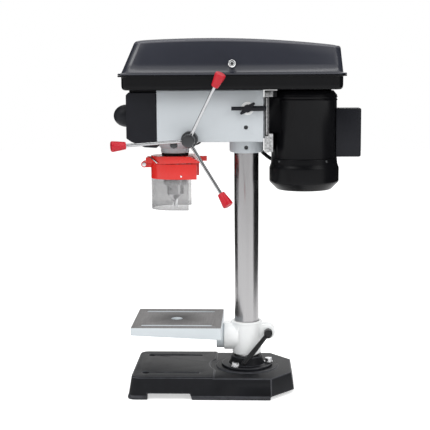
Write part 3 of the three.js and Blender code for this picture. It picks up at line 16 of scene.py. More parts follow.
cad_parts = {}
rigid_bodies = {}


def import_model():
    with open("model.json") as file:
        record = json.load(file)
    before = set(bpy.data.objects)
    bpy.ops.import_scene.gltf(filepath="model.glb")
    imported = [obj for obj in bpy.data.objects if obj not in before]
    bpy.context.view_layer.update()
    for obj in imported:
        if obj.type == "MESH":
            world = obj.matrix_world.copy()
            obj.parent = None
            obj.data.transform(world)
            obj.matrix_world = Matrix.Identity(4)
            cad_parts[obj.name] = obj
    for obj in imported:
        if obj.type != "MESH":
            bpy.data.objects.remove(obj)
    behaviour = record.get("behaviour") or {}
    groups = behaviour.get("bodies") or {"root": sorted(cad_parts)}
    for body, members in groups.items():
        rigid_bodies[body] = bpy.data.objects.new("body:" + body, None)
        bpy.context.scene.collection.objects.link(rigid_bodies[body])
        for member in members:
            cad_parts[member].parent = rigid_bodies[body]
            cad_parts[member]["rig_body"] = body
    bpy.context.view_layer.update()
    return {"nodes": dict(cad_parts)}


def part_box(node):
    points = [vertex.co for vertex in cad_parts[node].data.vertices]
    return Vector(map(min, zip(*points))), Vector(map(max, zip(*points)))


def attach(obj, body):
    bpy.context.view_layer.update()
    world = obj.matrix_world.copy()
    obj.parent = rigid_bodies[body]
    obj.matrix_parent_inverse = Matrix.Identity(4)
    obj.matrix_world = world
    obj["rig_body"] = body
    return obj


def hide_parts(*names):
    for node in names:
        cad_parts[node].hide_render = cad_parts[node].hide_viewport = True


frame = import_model()
MM = 0.001
TURN = 2 * math.pi

# %% [markdown]
# ## Camera
# The picture was taken from a little above the table's height, with the press seen from the side of
# its feed handles. The camera is given as a place and three small turns from looking straight along
# +Y, all in the machine's own axes, whose zero is the middle of the column at the floor.

# %% Camera at the picture's angle
column_low, column_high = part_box("column")
COLUMN = Vector(((column_low.x + column_high.x) / 2, (column_low.y + column_high.y) / 2, 0))
CAMERA_PLACE = COLUMN + Vector((22.6, -2000.1, 602.4)) * MM
CAMERA_YAW = 0.041
CAMERA_PITCH = 0.135
CAMERA_ROLL = 0.006
SENSOR = 36
LENS = 89.6

turn = (Matrix.Rotation(CAMERA_YAW, 4, "Z") @ Matrix.Rotation(math.pi / 2 - CAMERA_PITCH, 4, "X")
        @ Matrix.Rotation(-CAMERA_ROLL, 4, "Z"))
camera = bpy.data.objects.new("camera", bpy.data.cameras.new("camera"))
camera.data.lens = LENS
camera.data.sensor_width = SENSOR
camera.matrix_world = Matrix.Translation(CAMERA_PLACE) @ turn
bpy.context.scene.collection.objects.link(camera)
bpy.context.scene.camera = camera
print("camera at", [round(c, 3) for c in CAMERA_PLACE])

# %% [markdown]
# ## Node helpers
# The studio and the finishes are both made of nodes. These few helpers place a node, join it to
# others and do the small sums between them.

# %% Node helpers
def plug(tree, sockets, values):
    """Fills sockets by name or number, each with another node's output or a plain value."""
    for name, value in values.items():
        if isinstance(value, bpy.types.NodeSocket):
            tree.links.new(value, sockets[name])
        else:
            sockets[name].default_value = value


def add_node(tree, kind, values=None, **settings):
    made = tree.nodes.new(kind)
    for name, value in settings.items():
        setattr(made, name, value)
    plug(tree, made.inputs, values or {})
    return made


def ramp(tree, source, low, high, to_low=0.0, to_high=1.0):
    return add_node(tree, "ShaderNodeMapRange", {
        "Value": source, "From Min": low, "From Max": high, "To Min": to_low, "To Max": to_high,
    }).outputs["Result"]


def calculate(tree, operation, first, second=0.0):
    return add_node(tree, "ShaderNodeMath", {0: first, 1: second}, operation=operation).outputs[0]


def noise(tree, vector, scale, detail=2.0, rough=0.5):
    return add_node(tree, "ShaderNodeTexNoise", {
        "Vector": vector, "Scale": scale, "Detail": detail, "Roughness": rough}).outputs["Fac"]


print("node helpers ready")

# %% [markdown]
# ## Floor and light
# A studio picture of a black and grey machine needs large soft lamps: they draw the long pale lines along
# the rounded edges of the cover, and a painted highlight on the lid and on the base's edges adds to them.
# The backdrop is white only where the camera, glass and polished metal look straight at it, so it adds no
# extra light to the machine.

# %% World, floor and lamps
WORLD_LEVEL = 0.78
WHITE = (1, 1, 1, 1)
FLOOR_COLOUR = (0.93, 0.93, 0.93, 1)
FLOOR_GLOW = 0.52
FLOOR_HALF = 6
MACHINE_MIDDLE = COLUMN + Vector((-20, 0, 330)) * MM


def seen_directly(tree):
    """A mask that is 1 for what the camera, gloss and glass see, and 0 for light on the machine."""
    path = add_node(tree, "ShaderNodeLightPath").outputs
    clear = calculate(tree, "MAXIMUM", path["Is Camera Ray"], path["Is Transmission Ray"])
    return calculate(tree, "MAXIMUM", clear, path["Is Glossy Ray"])


def studio_sheet(name, corners, material):
    """A flat four-cornered sheet that belongs to the studio and not to the machine."""
    mesh = bpy.data.meshes.new(name)
    mesh.from_pydata([tuple(corner) for corner in corners], [], [(0, 1, 2, 3)])
    mesh.materials.append(material)
    made = bpy.data.objects.new(name, mesh)
    bpy.context.scene.collection.objects.link(made)
    return made


def lamp(name, place, size, watts):
    data = bpy.data.lights.new(name, "AREA")
    data.shape = "RECTANGLE"
    data.size, data.size_y = size
    data.energy = watts
    item = bpy.data.objects.new(name, data)
    item.location = place
    item.rotation_mode = "QUATERNION"
    item.rotation_quaternion = (MACHINE_MIDDLE - Vector(place)).to_track_quat("-Z", "Y")
    bpy.context.scene.collection.objects.link(item)


world = bpy.data.worlds.new("studio")
bpy.context.scene.world = world
world.use_nodes = True
sky = world.node_tree
sky.nodes.clear()
strength = ramp(sky, seen_directly(sky), 0, 1, WORLD_LEVEL, 1)
backdrop = add_node(sky, "ShaderNodeBackground", {"Color": WHITE, "Strength": strength})
add_node(sky, "ShaderNodeOutputWorld", {"Surface": backdrop.outputs[0]})

floor_finish = bpy.data.materials.new("pale_floor")
floor_finish.use_nodes = True
tree = floor_finish.node_tree
tree.nodes.clear()
matte = add_node(tree, "ShaderNodeBsdfDiffuse", {"Color": FLOOR_COLOUR}).outputs[0]
glow = add_node(tree, "ShaderNodeEmission", {"Color": WHITE, "Strength": FLOOR_GLOW}).outputs[0]
both = add_node(tree, "ShaderNodeAddShader", {0: matte, 1: glow}).outputs[0]
mixed = add_node(tree, "ShaderNodeMixShader", {0: seen_directly(tree), 1: matte, 2: both})
add_node(tree, "ShaderNodeOutputMaterial", {"Surface": mixed.outputs[0]})
floor_corners = [(x * FLOOR_HALF, y * FLOOR_HALF, 0) for x, y in ((-1, -1), (1, -1), (1, 1), (-1, 1))]
studio_sheet("floor", floor_corners, floor_finish)

lamp("key_lamp", (-2.0, -1.9, 2.9), (1.8, 1.4), 32)
lamp("fill_lamp", (2.1, -1.8, 2.0), (1.8, 1.4), 19)
lamp("top_lamp", (0.1, -0.5, 2.6), (2.4, 0.35), 8)
lamp("back_lamp", (0.4, 2.2, 1.5), (1.6, 1.2), 8)
bpy.context.scene.view_settings.view_transform = "Standard"
print("lamps", len(bpy.data.lights))

# %% [markdown]
# A studio hangs black cloth where polished metal and glossy paint must show a dark edge. Here one
# hangs on each side and one high over the photographer. They only show in gloss: the camera, the
# lamps' light and the soft light pass them, so that the machine keeps its plain level of light.

# %% Black cloths
CLOTH_COLOUR = (0.01, 0.01, 0.01, 1)
black_cloth = bpy.data.materials.new("black_cloth")
black_cloth.use_nodes = True
tree = black_cloth.node_tree
plug(tree, tree.nodes["Principled BSDF"].inputs, {
    "Base Color": CLOTH_COLOUR, "Roughness": 0.9, "Specular IOR Level": 0.1})


def cloth(name, first, last, low, top):
    """An upright black cloth between two points of the floor plan."""
    corners = [(*first, low), (*last, low), (*last, top), (*first, top)]
    made = studio_sheet(name, [COLUMN + Vector(corner) for corner in corners], black_cloth)
    for kind in ("camera", "diffuse", "transmission", "shadow"):
        setattr(made, "visible_" + kind, False)


cloth("high_cloth", (-2.6, -2.5), (2.6, -2.5), 1.0, 3.9)
cloth("left_cloth", (-1.0, 0.0), (-1.0, 3.0), 0.0, 1.8)
cloth("right_cloth", (0.95, -0.4), (0.95, 3.0), 0.0, 1.8)
print("cloths hung")

# %% [markdown]
# ## Shared finishes
# Cast iron, sprayed paint, moulded plastic and ground steel differ in two things: the fine relief of
# the skin and how evenly it is coloured. Three small node groups give those, each built once, and the
# materials below place them with their own values. They put out only masks and heights, and the
# shader itself stays in each material.

# %% Node groups
WAVE_SHARE = 0.3
PATCH_FADE = 0.25
BROAD_LINES = 0.12


def new_group(name, inputs, outputs):
    """A shader group that takes a vector and the named values, and puts out plain numbers."""
    group = bpy.data.node_groups.new(name, "ShaderNodeTree")
    for label, value in {"Vector": (0, 0, 0), **inputs}.items():
        kind = "NodeSocketVector" if isinstance(value, tuple) else "NodeSocketFloat"
        group.interface.new_socket(label, in_out="INPUT", socket_type=kind).default_value = value
    for label in outputs:
        group.interface.new_socket(label, in_out="OUTPUT", socket_type="NodeSocketFloat")
    given = group.nodes.new("NodeGroupInput").outputs
    return group, given, group.nodes.new("NodeGroupOutput").inputs


def build_skin():
    """Relief of a cast or sprayed skin: fine grain over slow waves."""
    group, given, result = new_group(
        "skin_relief", {"Grain per metre": 900.0, "Wave per metre": 60.0}, ["Height", "Tone"])
    grain = noise(group, given["Vector"], given["Grain per metre"], 3.0, 0.6)
    wave = noise(group, given["Vector"], given["Wave per metre"])
    height = calculate(group, "ADD", calculate(group, "MULTIPLY", grain, 1 - WAVE_SHARE),
                       calculate(group, "MULTIPLY", wave, WAVE_SHARE))
    plug(group, result, {"Height": height, "Tone": wave})
    return group


def build_scuffs():
    """Sparse rubbed patches where hands and dust have dulled a surface."""
    group, given, result = new_group(
        "rubbed_patches", {"Patches per metre": 14.0, "Cover": 0.45}, ["Mask"])
    patch = noise(group, given["Vector"], given["Patches per metre"], 6.0, 0.65)
    low = calculate(group, "SUBTRACT", 1.0, given["Cover"])
    edge = calculate(group, "SUBTRACT", patch, low)
    plug(group, result, {"Mask": ramp(group, edge, 0.0, PATCH_FADE)})
    return group


def build_brushed():
    """Fine lines left by a belt or a wheel: noise stretched along the direction of travel."""
    group, given, result = new_group(
        "brushed_lines", {"Lines per metre": (1500.0, 1500.0, 12.0)}, ["Height", "Tone"])
    stretched = add_node(group, "ShaderNodeVectorMath", {
        0: given["Vector"], 1: given["Lines per metre"]}, operation="MULTIPLY").outputs[0]
    fine = noise(group, stretched, 1.0, 2.0, 0.6)
    broad = noise(group, stretched, BROAD_LINES, 1.0)
    tone = calculate(group, "MULTIPLY", calculate(group, "ADD", fine, broad), 0.5)
    plug(group, result, {"Height": fine, "Tone": tone})
    return group


SKIN = build_skin()
SCUFFS = build_scuffs()
BRUSHED = build_brushed()
print("groups", [g.name for g in (SKIN, SCUFFS, BRUSHED)])


# %% [markdown]
# ## Materials
# Each paint or plastic below is one colour with a slow change of tone, a fine relief and rubbed
# patches that are a little lighter and duller. Metals use brushed lines in place of the skin.

# %% Material helpers
PATCH_STRENGTH = 0.5
METAL_DULL = 0.18
METAL_COVER = 0.25
METAL_PATCHES = 30.0
MATERIALS = {}


def place_group(tree, group, **values):
    """Outputs of a shared group that is placed with its own values."""
    named = {name.replace("_", " "): value for name, value in values.items()}
    return add_node(tree, "ShaderNodeGroup", named, node_tree=group).outputs


def blank_material(name):
    made = bpy.data.materials.new(name)
    made.use_nodes = True
    MATERIALS[name] = made
    tree = made.node_tree
    where = add_node(tree, "ShaderNodeTexCoord").outputs["Object"]
    return tree, tree.nodes["Principled BSDF"].inputs, where


def colour_mix(tree, mask, first, second):
    """The first colour, which passes into the second where the mask is high."""
    made = add_node(tree, "ShaderNodeMix", {"Factor": mask}, data_type="RGBA")
    given = [(*value, 1) if isinstance(value, tuple) else value for value in (first, second)]
    plug(tree, [s for s in made.inputs if s.type == "RGBA"], dict(enumerate(given)))
    return [s for s in made.outputs if s.type == "RGBA"][0]


def shade(colour, factor):
    return tuple(min(1.0, c * factor) for c in colour)


def toned(tree, mask, colour, spread):
    return colour_mix(tree, mask, shade(colour, 1 - spread), shade(colour, 1 + spread))


def relief(tree, height, depth):
    return add_node(tree, "ShaderNodeBump", {
        "Height": height, "Distance": depth, "Strength": 1.0}).outputs["Normal"]


def coated(name, colour, roughness, depth, grain, wave, spread, cover, lift, gloss, dull=0.14):
    """Paint, plastic or a cast skin: colour with slow tone changes, relief and rubbed patches."""
    tree, shader, where = blank_material(name)
    skin = place_group(tree, SKIN, Vector=where, Grain_per_metre=grain, Wave_per_metre=wave)
    scuff = place_group(tree, SCUFFS, Vector=where, Cover=cover)["Mask"]
    tone = toned(tree, skin["Tone"], colour, spread)
    patch = calculate(tree, "MULTIPLY", scuff, PATCH_STRENGTH)
    plug(tree, shader, {
        "Base Color": colour_mix(tree, patch, tone, shade(colour, lift)),
        "Roughness": ramp(tree, scuff, 0, 1, roughness, roughness + dull),
        "Specular IOR Level": gloss,
        "Normal": relief(tree, skin["Height"], depth),
    })


def metal(name, colour, roughness, lines, depth, spread):
    """Bare metal with brushed lines and a few handling marks."""
    tree, shader, where = blank_material(name)
    brushed = place_group(tree, BRUSHED, Vector=where, Lines_per_metre=lines)
    scuff = place_group(tree, SCUFFS, Vector=where, Cover=METAL_COVER, Patches_per_metre=METAL_PATCHES)
    plug(tree, shader, {
        "Base Color": toned(tree, brushed["Tone"], colour, spread),
        "Roughness": ramp(tree, scuff["Mask"], 0, 1, roughness, roughness + METAL_DULL),
        "Metallic": 1.0,
        "Normal": relief(tree, brushed["Height"], depth),
    })


print("material helpers ready")

# %% [markdown]
# The tables below hold one row for each finish, with the values in the order in which the two
# helpers above name them. Depths of relief are in metres, and the grain, waves and lines per metre.

# %% Paints, plastics and metals
FINE = 0.00002
CASTING = 0.00035
COATED = {
    "black_iron": ((0.010, 0.0105, 0.0125), 0.46, CASTING, 420, 45, 0.25, 0.45, 1.8, 0.12),
    # painted highlight: a paler black for the rounded edge strips of base and flange
    "rubbed_iron": ((0.04, 0.0415, 0.048), 0.4, FINE, 420, 90, 0.6, 0.5, 1.6, 0.3),
    "black_paint": ((0.0045, 0.0046, 0.0055), 0.3, 3 * FINE, 700, 25, 0.2, 0.4, 1.5, 0.11),
    "cover_paint": ((0.028, 0.03, 0.0405), 0.2, 3 * FINE, 700, 20, 0.1, 0.4, 1.25, 0.6),
    # painted highlight: a paler cover paint for the lid's roof corner band
    "cover_edge": ((0.07, 0.071, 0.085), 0.25, FINE, 700, 20, 0.1, 0.4, 1.25, 0.6),
    "black_plastic": ((0.0125, 0.0132, 0.017), 0.42, 4 * FINE, 1500, 40, 0.15, 0.4, 1.5, 0.14),
    "lever_plastic": ((0.011, 0.011, 0.012), 0.38, 3 * FINE, 1200, 80, 0.2, 0.4, 1.8, 0.25),
    "grey_paint": ((0.565, 0.603, 0.632), 0.36, 4 * FINE, 500, 22, 0.035, 0.35, 1.06, 0.5),
    "white_paint": ((0.95, 0.965, 0.965), 0.38, 6 * FINE, 420, 40, 0.03, 0.35, 1.04, 0.5),
    "table_paint": ((0.64, 0.69, 0.72), 0.4, 4 * FINE, 420, 40, 0.04, 0.35, 1.05, 0.5),
    "rough_casting": ((0.45, 0.455, 0.46), 0.5, CASTING, 300, 280, 1.0, 0.5, 1.9, 0.5),
    "guard_red": ((0.71, 0.019, 0.013), 0.26, FINE, 900, 30, 0.06, 0.35, 1.1, 0.5, 0.1),
    "grip_red": ((0.52, 0.012, 0.025), 0.26, FINE, 900, 60, 0.08, 0.35, 1.15, 0.3),
    "start_green": ((0.02, 0.3, 0.07), 0.25, FINE, 900, 60, 0.08, 0.42, 1.25, 0.5),
    "black_rubber": ((0.012, 0.012, 0.013), 0.7, 5 * FINE, 800, 60, 0.2, 0.42, 1.25, 0.15),
}
METALS = {
    "column_steel": ((0.355, 0.35, 0.355), 0.24, (900.0, 900.0, 6.0), FINE / 4, 0.14),
    "bright_steel": ((0.56, 0.565, 0.575), 0.25, (900.0, 900.0, 900.0), FINE / 2, 0.1),
    "polished_steel": ((0.8, 0.81, 0.82), 0.16, (900.0, 900.0, 900.0), FINE / 2, 0.06),
    "chuck_steel": ((0.46, 0.455, 0.465), 0.26, (200.0, 200.0, 2500.0), FINE, 0.16),
    "rod_steel": ((0.44, 0.445, 0.455), 0.22, (900.0, 900.0, 900.0), FINE / 2, 0.1),
    "dark_steel": ((0.065, 0.067, 0.07), 0.36, (600.0, 600.0, 600.0), FINE, 0.25),
    "pulley_metal": ((0.5, 0.52, 0.54), 0.3, (150.0, 150.0, 2500.0), FINE, 0.15),
}
for name, values in COATED.items():
    coated(name, *values)
for name, values in METALS.items():
    metal(name, *values)
print("paints and plastics", len(COATED), "metals", len(METALS))

# %% [markdown]
# The table's top is ground cast iron. A face mill leaves rings round the middle hole, and straight
# grinding marks cross them. Near the hole the chips have worn it darker.

# %% Ground table top
RINGS_PER_METRE = 420.0
RING_DEPTH = 0.6
WORN_FROM = 18 * MM
WORN_TO = 60 * MM


def make_table_top():
    """Ground cast iron: rings round the middle hole over straight grinding marks."""
    tree, shader, where = blank_material("ground_table_top")
    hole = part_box("chuck_body")[0].lerp(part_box("chuck_body")[1], 0.5)
    centre = (hole.x, hole.y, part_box("table")[1].z)
    offset = add_node(tree, "ShaderNodeVectorMath", {0: where, 1: centre}, operation="SUBTRACT")
    distance = add_node(tree, "ShaderNodeVectorMath", {0: offset.outputs[0]},
                        operation="LENGTH").outputs["Value"]
    phase = calculate(tree, "MULTIPLY", distance, RINGS_PER_METRE)
    wave = calculate(tree, "SINE", calculate(tree, "MULTIPLY", phase, TURN))
    rings = ramp(tree, wave, -1.0, 1.0)
    marks = calculate(tree, "ADD", *[
        place_group(tree, BRUSHED, Vector=where, Lines_per_metre=lines)["Height"]
        for lines in ((25.0, 900.0, 10.0), (900.0, 25.0, 10.0))])
    height = calculate(tree, "ADD", marks, calculate(tree, "MULTIPLY", rings, RING_DEPTH))
    worn = ramp(tree, distance, WORN_FROM, WORN_TO)
    tone = calculate(tree, "MULTIPLY", worn, ramp(tree, marks, 0.75, 1.25, 0.55, 1.0))
    plug(tree, shader, {
        "Base Color": colour_mix(tree, tone, (0.055, 0.053, 0.053), (0.2, 0.194, 0.193)),
        "Roughness": ramp(tree, rings, 0, 1, 0.5, 0.62),
        "Metallic": 0.3,
        "Specular IOR Level": 0.2,
        "Normal": relief(tree, height, 2 * FINE),
    })


make_table_top()
print("rings centred on the chuck's axis")

# %% [markdown]
# The shield is a smoked clear sheet. Each of its four faces on a line of sight holds back a little
# light, and near its lower edge, where it has been scratched most, it holds back more.

# %% Clear shield
SCRATCHED_BAND = 14 * MM
SCRATCHED_MORE = 0.26


def make_shield_clear():
    tree, shader, where = blank_material("shield_clear")
    haze = place_group(tree, SKIN, Vector=where, Grain_per_metre=160.0, Wave_per_metre=30.0)
    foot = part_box("guard_shield")[0].z
    height = add_node(tree, "ShaderNodeSeparateXYZ", {0: where}).outputs["Z"]
    lower = ramp(tree, height, foot, foot + SCRATCHED_BAND, SCRATCHED_MORE, 0.0)
    film = ramp(tree, haze["Height"], 0.35, 0.65, 0.33, 0.40)
    plug(tree, shader, {
        "Base Color": colour_mix(tree, haze["Tone"], (0.26, 0.26, 0.265), (0.36, 0.36, 0.365)),
        "Roughness": ramp(tree, haze["Height"], 0.3, 0.7, 0.12, 0.24),
        "Alpha": calculate(tree, "ADD", film, lower),
        "Normal": relief(tree, haze["Height"], FINE),
    })


make_shield_clear()
print("materials", len(MATERIALS))

# %% [markdown]
# ## From plain solid to finished piece
# Cast, moulded and machined parts never have knife edges: a casting's corners are rounded in the
# mould and a machined part's are broken with a file. Each plain solid is copied, its loose triangles
# are merged into real faces, and every sharp edge gets a small rounding of its own width. Round parts
# that are seen from near are turned again from their outline with many more sides.

# %% Piece helpers
MERGE = 0.00001
FLAT = math.radians(1.5)
SHARP = math.radians(33)
SMOOTH = math.radians(38)
BEVEL_STEPS = 2
BEVEL_SHAPE = 0.6
VOLUME_CHANGE = 0.06
NARROWER = (1, 0.6, 0.35, 0.2, 0)
widths = {}


def work_copy(node):
    """The solid with shared corners; a flat face that has holes is split into plain triangles."""
    work = bmesh.new()
    work.from_mesh(frame["nodes"][node].data)
    bmesh.ops.remove_doubles(work, verts=work.verts, dist=MERGE)
    bmesh.ops.dissolve_limit(work, angle_limit=FLAT, verts=work.verts, edges=work.edges)
    bmesh.ops.triangulate(work, faces=[f for f in work.faces if len(f.verts) > 4])
    return work


def edge_angle(edge):
    return edge.calc_face_angle(0) if edge.is_manifold else 0


def rounded(work, width, edge_slot=0):
    """Rounds every sharp edge, and says if the result is still closed and about as large."""
    before = abs(work.calc_volume())
    edges = [e for e in work.edges if edge_angle(e) > SHARP]
    strips = bmesh.ops.bevel(work, geom=edges, offset=width, offset_type="OFFSET", segments=BEVEL_STEPS,
                             profile=BEVEL_SHAPE, affect="EDGES", clamp_overlap=False)
    for face in strips["faces"]:
        face.material_index = edge_slot
    closed = all(e.is_manifold for e in work.edges)
    return closed and abs(abs(work.calc_volume()) / before - 1) < VOLUME_CHANGE


def outward(work):
    """Turns the faces of one closed body to its outside."""
    bmesh.ops.recalc_face_normals(work, faces=work.faces)
    if work.calc_volume(signed=True) < 0:
        bmesh.ops.reverse_faces(work, faces=work.faces)
    return work


def add_piece(name, work, finish, node, on_top=False):
    """Shows the worked faces on a node's body, in the node's place or on top of it."""
    mesh = bpy.data.meshes.new(name)
    work.to_mesh(mesh)
    work.free()
    mesh.polygons.foreach_set("use_smooth", [True] * len(mesh.polygons))
    mesh.set_sharp_from_angle(angle=SMOOTH)
    mesh.materials.append(MATERIALS[finish])
    made = bpy.data.objects.new(name, mesh)
    bpy.context.scene.collection.objects.link(made)
    if not on_top:
        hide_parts(node)
    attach(made, frame["nodes"][node]["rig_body"])
    return made


def dressed(node, finish, width, edge_finish=None):
    """The CAD solid with its sharp edges rounded to the width in millimetres, or narrower."""
    for share in NARROWER:
        work = work_copy(node)
        if share == 0 or rounded(work, width * share * MM, 1 if edge_finish else 0):
            break
        work.free()
    made = add_piece("seen_" + node, work, finish, node)
    widths[node] = (width, width * share)
    if edge_finish:
        made.data.materials.append(MATERIALS[edge_finish])
    return made


def give_faces(piece, finish, belongs):
    """A second finish for the faces that belong to it, and how many they are."""
    piece.data.materials.append(MATERIALS[finish])
    chosen = [polygon for polygon in piece.data.polygons if belongs(polygon)]
    for polygon in chosen:
        polygon.material_index = 1
    return len(chosen)


print("piece helpers ready")

# %% [markdown]
# ## Helpers for formed pieces
# A pressed or moulded shell is a stack of closed outlines, so it is lofted from one outline to the
# next and closed at both ends. A turned part is its half outline swept round an axis. Holes are cut
# afterwards, as on the real part.

# %% Outlines
UPRIGHT = (0, 0, 1)
ALONG_X = (1, 0, 0)
ALONG_Y = (0, 1, 0)
NEARLY_UPRIGHT = 0.9
SIDE_SHARE = 0.45


def middle_of(node):
    low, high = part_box(node)
    return (low + high) / 2


def bezier(first, corner, last, steps):
    """Points of a curve that leaves and arrives along the two sides of a corner."""
    result = []
    for i in range(steps + 1):
        t = i / steps
        result.append(tuple((1 - t) ** 2 * a + 2 * t * (1 - t) * b + t * t * c
                            for a, b, c in zip(first, corner, last)))
    return result


def near_edge(radius, distance, size, steps):
    """The rounded edge where an outline turns from a face to its side."""
    return bezier((radius - size, distance), (radius, distance), (radius, distance + size), steps)


def far_edge(radius, distance, size, steps):
    """The rounded edge where an outline turns from its side to a face."""
    return bezier((radius, distance - size), (radius, distance), (radius - size, distance), steps)


def softened(points, reach, steps=4):
    """An open outline with its inner corners rounded; reach is the rounding's length each way."""
    result = [points[0]]
    for before, here, after in zip(points, points[1:], points[2:]):
        corner = Vector(here)
        back, ahead = Vector(before) - corner, Vector(after) - corner
        size = min(reach, back.length * SIDE_SHARE, ahead.length * SIDE_SHARE)
        result += bezier(tuple(corner + back.normalized() * size), tuple(corner),
                         tuple(corner + ahead.normalized() * size), steps)
    return result + [points[-1]]


print("a corner in four steps", len(softened([(0, 0), (1, 0), (1, 1)], 0.1)))

# %% Turned and lofted bodies
def axis_frame(axis):
    """An axis and two directions square to it."""
    along = Vector(axis).normalized()
    aside = Vector(UPRIGHT) if abs(along.z) < NEARLY_UPRIGHT else Vector(ALONG_X)
    first = along.cross(aside).normalized()
    return along, first, along.cross(first)


def turned(outline, place, axis, sides):
    """Faces of an outline of (radius, distance) swept round an axis; a radius of 0 closes it."""
    work = bmesh.new()
    along, first, second = axis_frame(axis)
    rings = []
    for radius, distance in outline:
        middle = Vector(place) + along * distance
        if radius < MERGE:
            rings.append([work.verts.new(middle)])
            continue
        rings.append([work.verts.new(middle + radius * (first * math.cos(i / sides * TURN)
                                                        + second * math.sin(i / sides * TURN)))
                      for i in range(sides)])
    pairs = list(zip(rings, rings[1:]))
    if len(rings[0]) > 1 or len(rings[-1]) > 1:
        pairs.append((rings[-1], rings[0]))
    for lower, upper in pairs:
        for i in range(sides):
            corners = []
            for ring, k in ((lower, i), (lower, i + 1), (upper, i + 1), (upper, i)):
                vert = ring[k % len(ring)]
                if vert not in corners:
                    corners.append(vert)
            if len(corners) > 2:
                work.faces.new(corners)
    return outward(work)


def lofted(rings):
    """Faces between closed outlines of equal length; the caps join mirrored points of an outline."""
    work = bmesh.new()
    rows = [[work.verts.new(point) for point in ring] for ring in rings]
    count = len(rows[0])
    for lower, upper in zip(rows, rows[1:]):
        for i in range(count):
            j = (i + 1) % count
            work.faces.new((lower[i], lower[j], upper[j], upper[i]))
    for ring in (rows[0], rows[-1]):
        for i in range(count // 2 - 1):
            work.faces.new((ring[i], ring[i + 1], ring[count - 2 - i], ring[count - 1 - i]))
    return outward(work)


def box_faces(low, high):
    work = bmesh.new()
    bmesh.ops.create_cube(work, size=1)
    middle = (Vector(low) + Vector(high)) / 2
    size = Vector(high) - Vector(low)
    work.transform(Matrix.Translation(middle) @ Matrix.Diagonal((*size, 1)))
    return work


print("turned and lofted bodies ready")

# %% [markdown]
# Blender's exact solver cuts one closed body with another, on scratch objects that are removed at
# once. It also takes out of a plain solid the part that stays as it is, such as a foot or a hinge
# leaf, so that only the form round it is made again.

# %% Cut and joined bodies
def scratch_object(work):
    mesh = bpy.data.meshes.new("scratch")
    work.to_mesh(mesh)
    work.free()
    made = bpy.data.objects.new("scratch", mesh)
    bpy.context.scene.collection.objects.link(made)
    return made


def cut(work, tool, operation="DIFFERENCE"):
    """Takes one closed body out of another, or keeps what they share."""
    target, cutter = scratch_object(work), scratch_object(tool)
    change = target.modifiers.new("form", "BOOLEAN")
    change.operation = operation
    change.solver = "EXACT"
    change.object = cutter
    evaluated = target.evaluated_get(bpy.context.evaluated_depsgraph_get())
    result = bmesh.new()
    result.from_mesh(evaluated.data)
    for item in (target, cutter):
        mesh = item.data
        bpy.data.objects.remove(item)
        bpy.data.meshes.remove(mesh)
    bmesh.ops.remove_doubles(result, verts=result.verts, dist=MERGE)
    return result


def part_of(node, low, high):
    """What the CAD solid has inside a box, as faces of its own."""
    return cut(work_copy(node), box_faces(low, high), "INTERSECT")


def joined(first, second):
    """Two closed bodies in one set of faces."""
    mesh = bpy.data.meshes.new("scratch")
    second.to_mesh(mesh)
    second.free()
    first.from_mesh(mesh)
    bpy.data.meshes.remove(mesh)
    return first


def pin_hole(place, axis, radius, length, sides=32):
    """A plain round tool centred on a place, for cutting holes."""
    return turned([(0, -length / 2), (radius, -length / 2), (radius, length / 2), (0, length / 2)],
                  place, axis, sides)


print("forming helpers ready")

# %% [markdown]
# ## Belt cover
# The real cover is two thin pressings. The lower pan has a rolled lip all round, and the lid on top
# has sloping sides, a slightly crowned roof and wide soft corners that catch the long pale lines, which a
# painted highlight on the lid's roof corner strengthens. Both are lofted as shells, with their inside,
# because the lid opens.

# %% Belt cover outlines
lid_low, lid_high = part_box("belt_lid")
LIP = 6.5 * MM
LIP_THICK = 3 * MM
SHELL = 2.5 * MM
COVER_CORNER = 15 * MM
CORNER_STEPS = 8
BAYS = 24
WELL_BEYOND = Vector((0, 1, 1))
cover_front, cover_rear = lid_low.x + LIP, lid_high.x - LIP
cover_half = COLUMN.y - lid_low.y - LIP


def rounded_outline(front, rear, half, radius, rule):
    """A closed outline, near side first; the rule gives the height at each x."""
    angles = [math.pi / 2 * i / CORNER_STEPS for i in range(CORNER_STEPS + 1)]
    near = [(front + radius * (1 - math.cos(a)), half - radius * (1 - math.sin(a))) for a in angles]
    near += [(front + radius + (rear - front - 2 * radius) * i / BAYS, half) for i in range(1, BAYS)]
    near += [(rear - radius * (1 - math.sin(a)), half - radius * (1 - math.cos(a))) for a in angles]
    return ([(x, COLUMN.y - y, rule(x)) for x, y in near]
            + [(x, COLUMN.y + y, rule(x)) for x, y in reversed(near)])


def cover_outline(grow, height):
    return rounded_outline(cover_front - grow, cover_rear + grow, cover_half + grow,
                           COVER_CORNER + grow, lambda x: height)


def hinge_leaves(node, low_z):
    """What a half of the cover has behind its lip."""
    return part_of(node, (cover_front, COLUMN.y + cover_half + LIP, low_z),
                   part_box(node)[1] + WELL_BEYOND)


print("cover", round(cover_front, 4), round(cover_rear, 4), round(cover_half, 4))

# %% [markdown]
# The pan's floor curves up into its sides, and the lip stands out level. The two round holes let the
# spindle's and the motor's pulleys through.

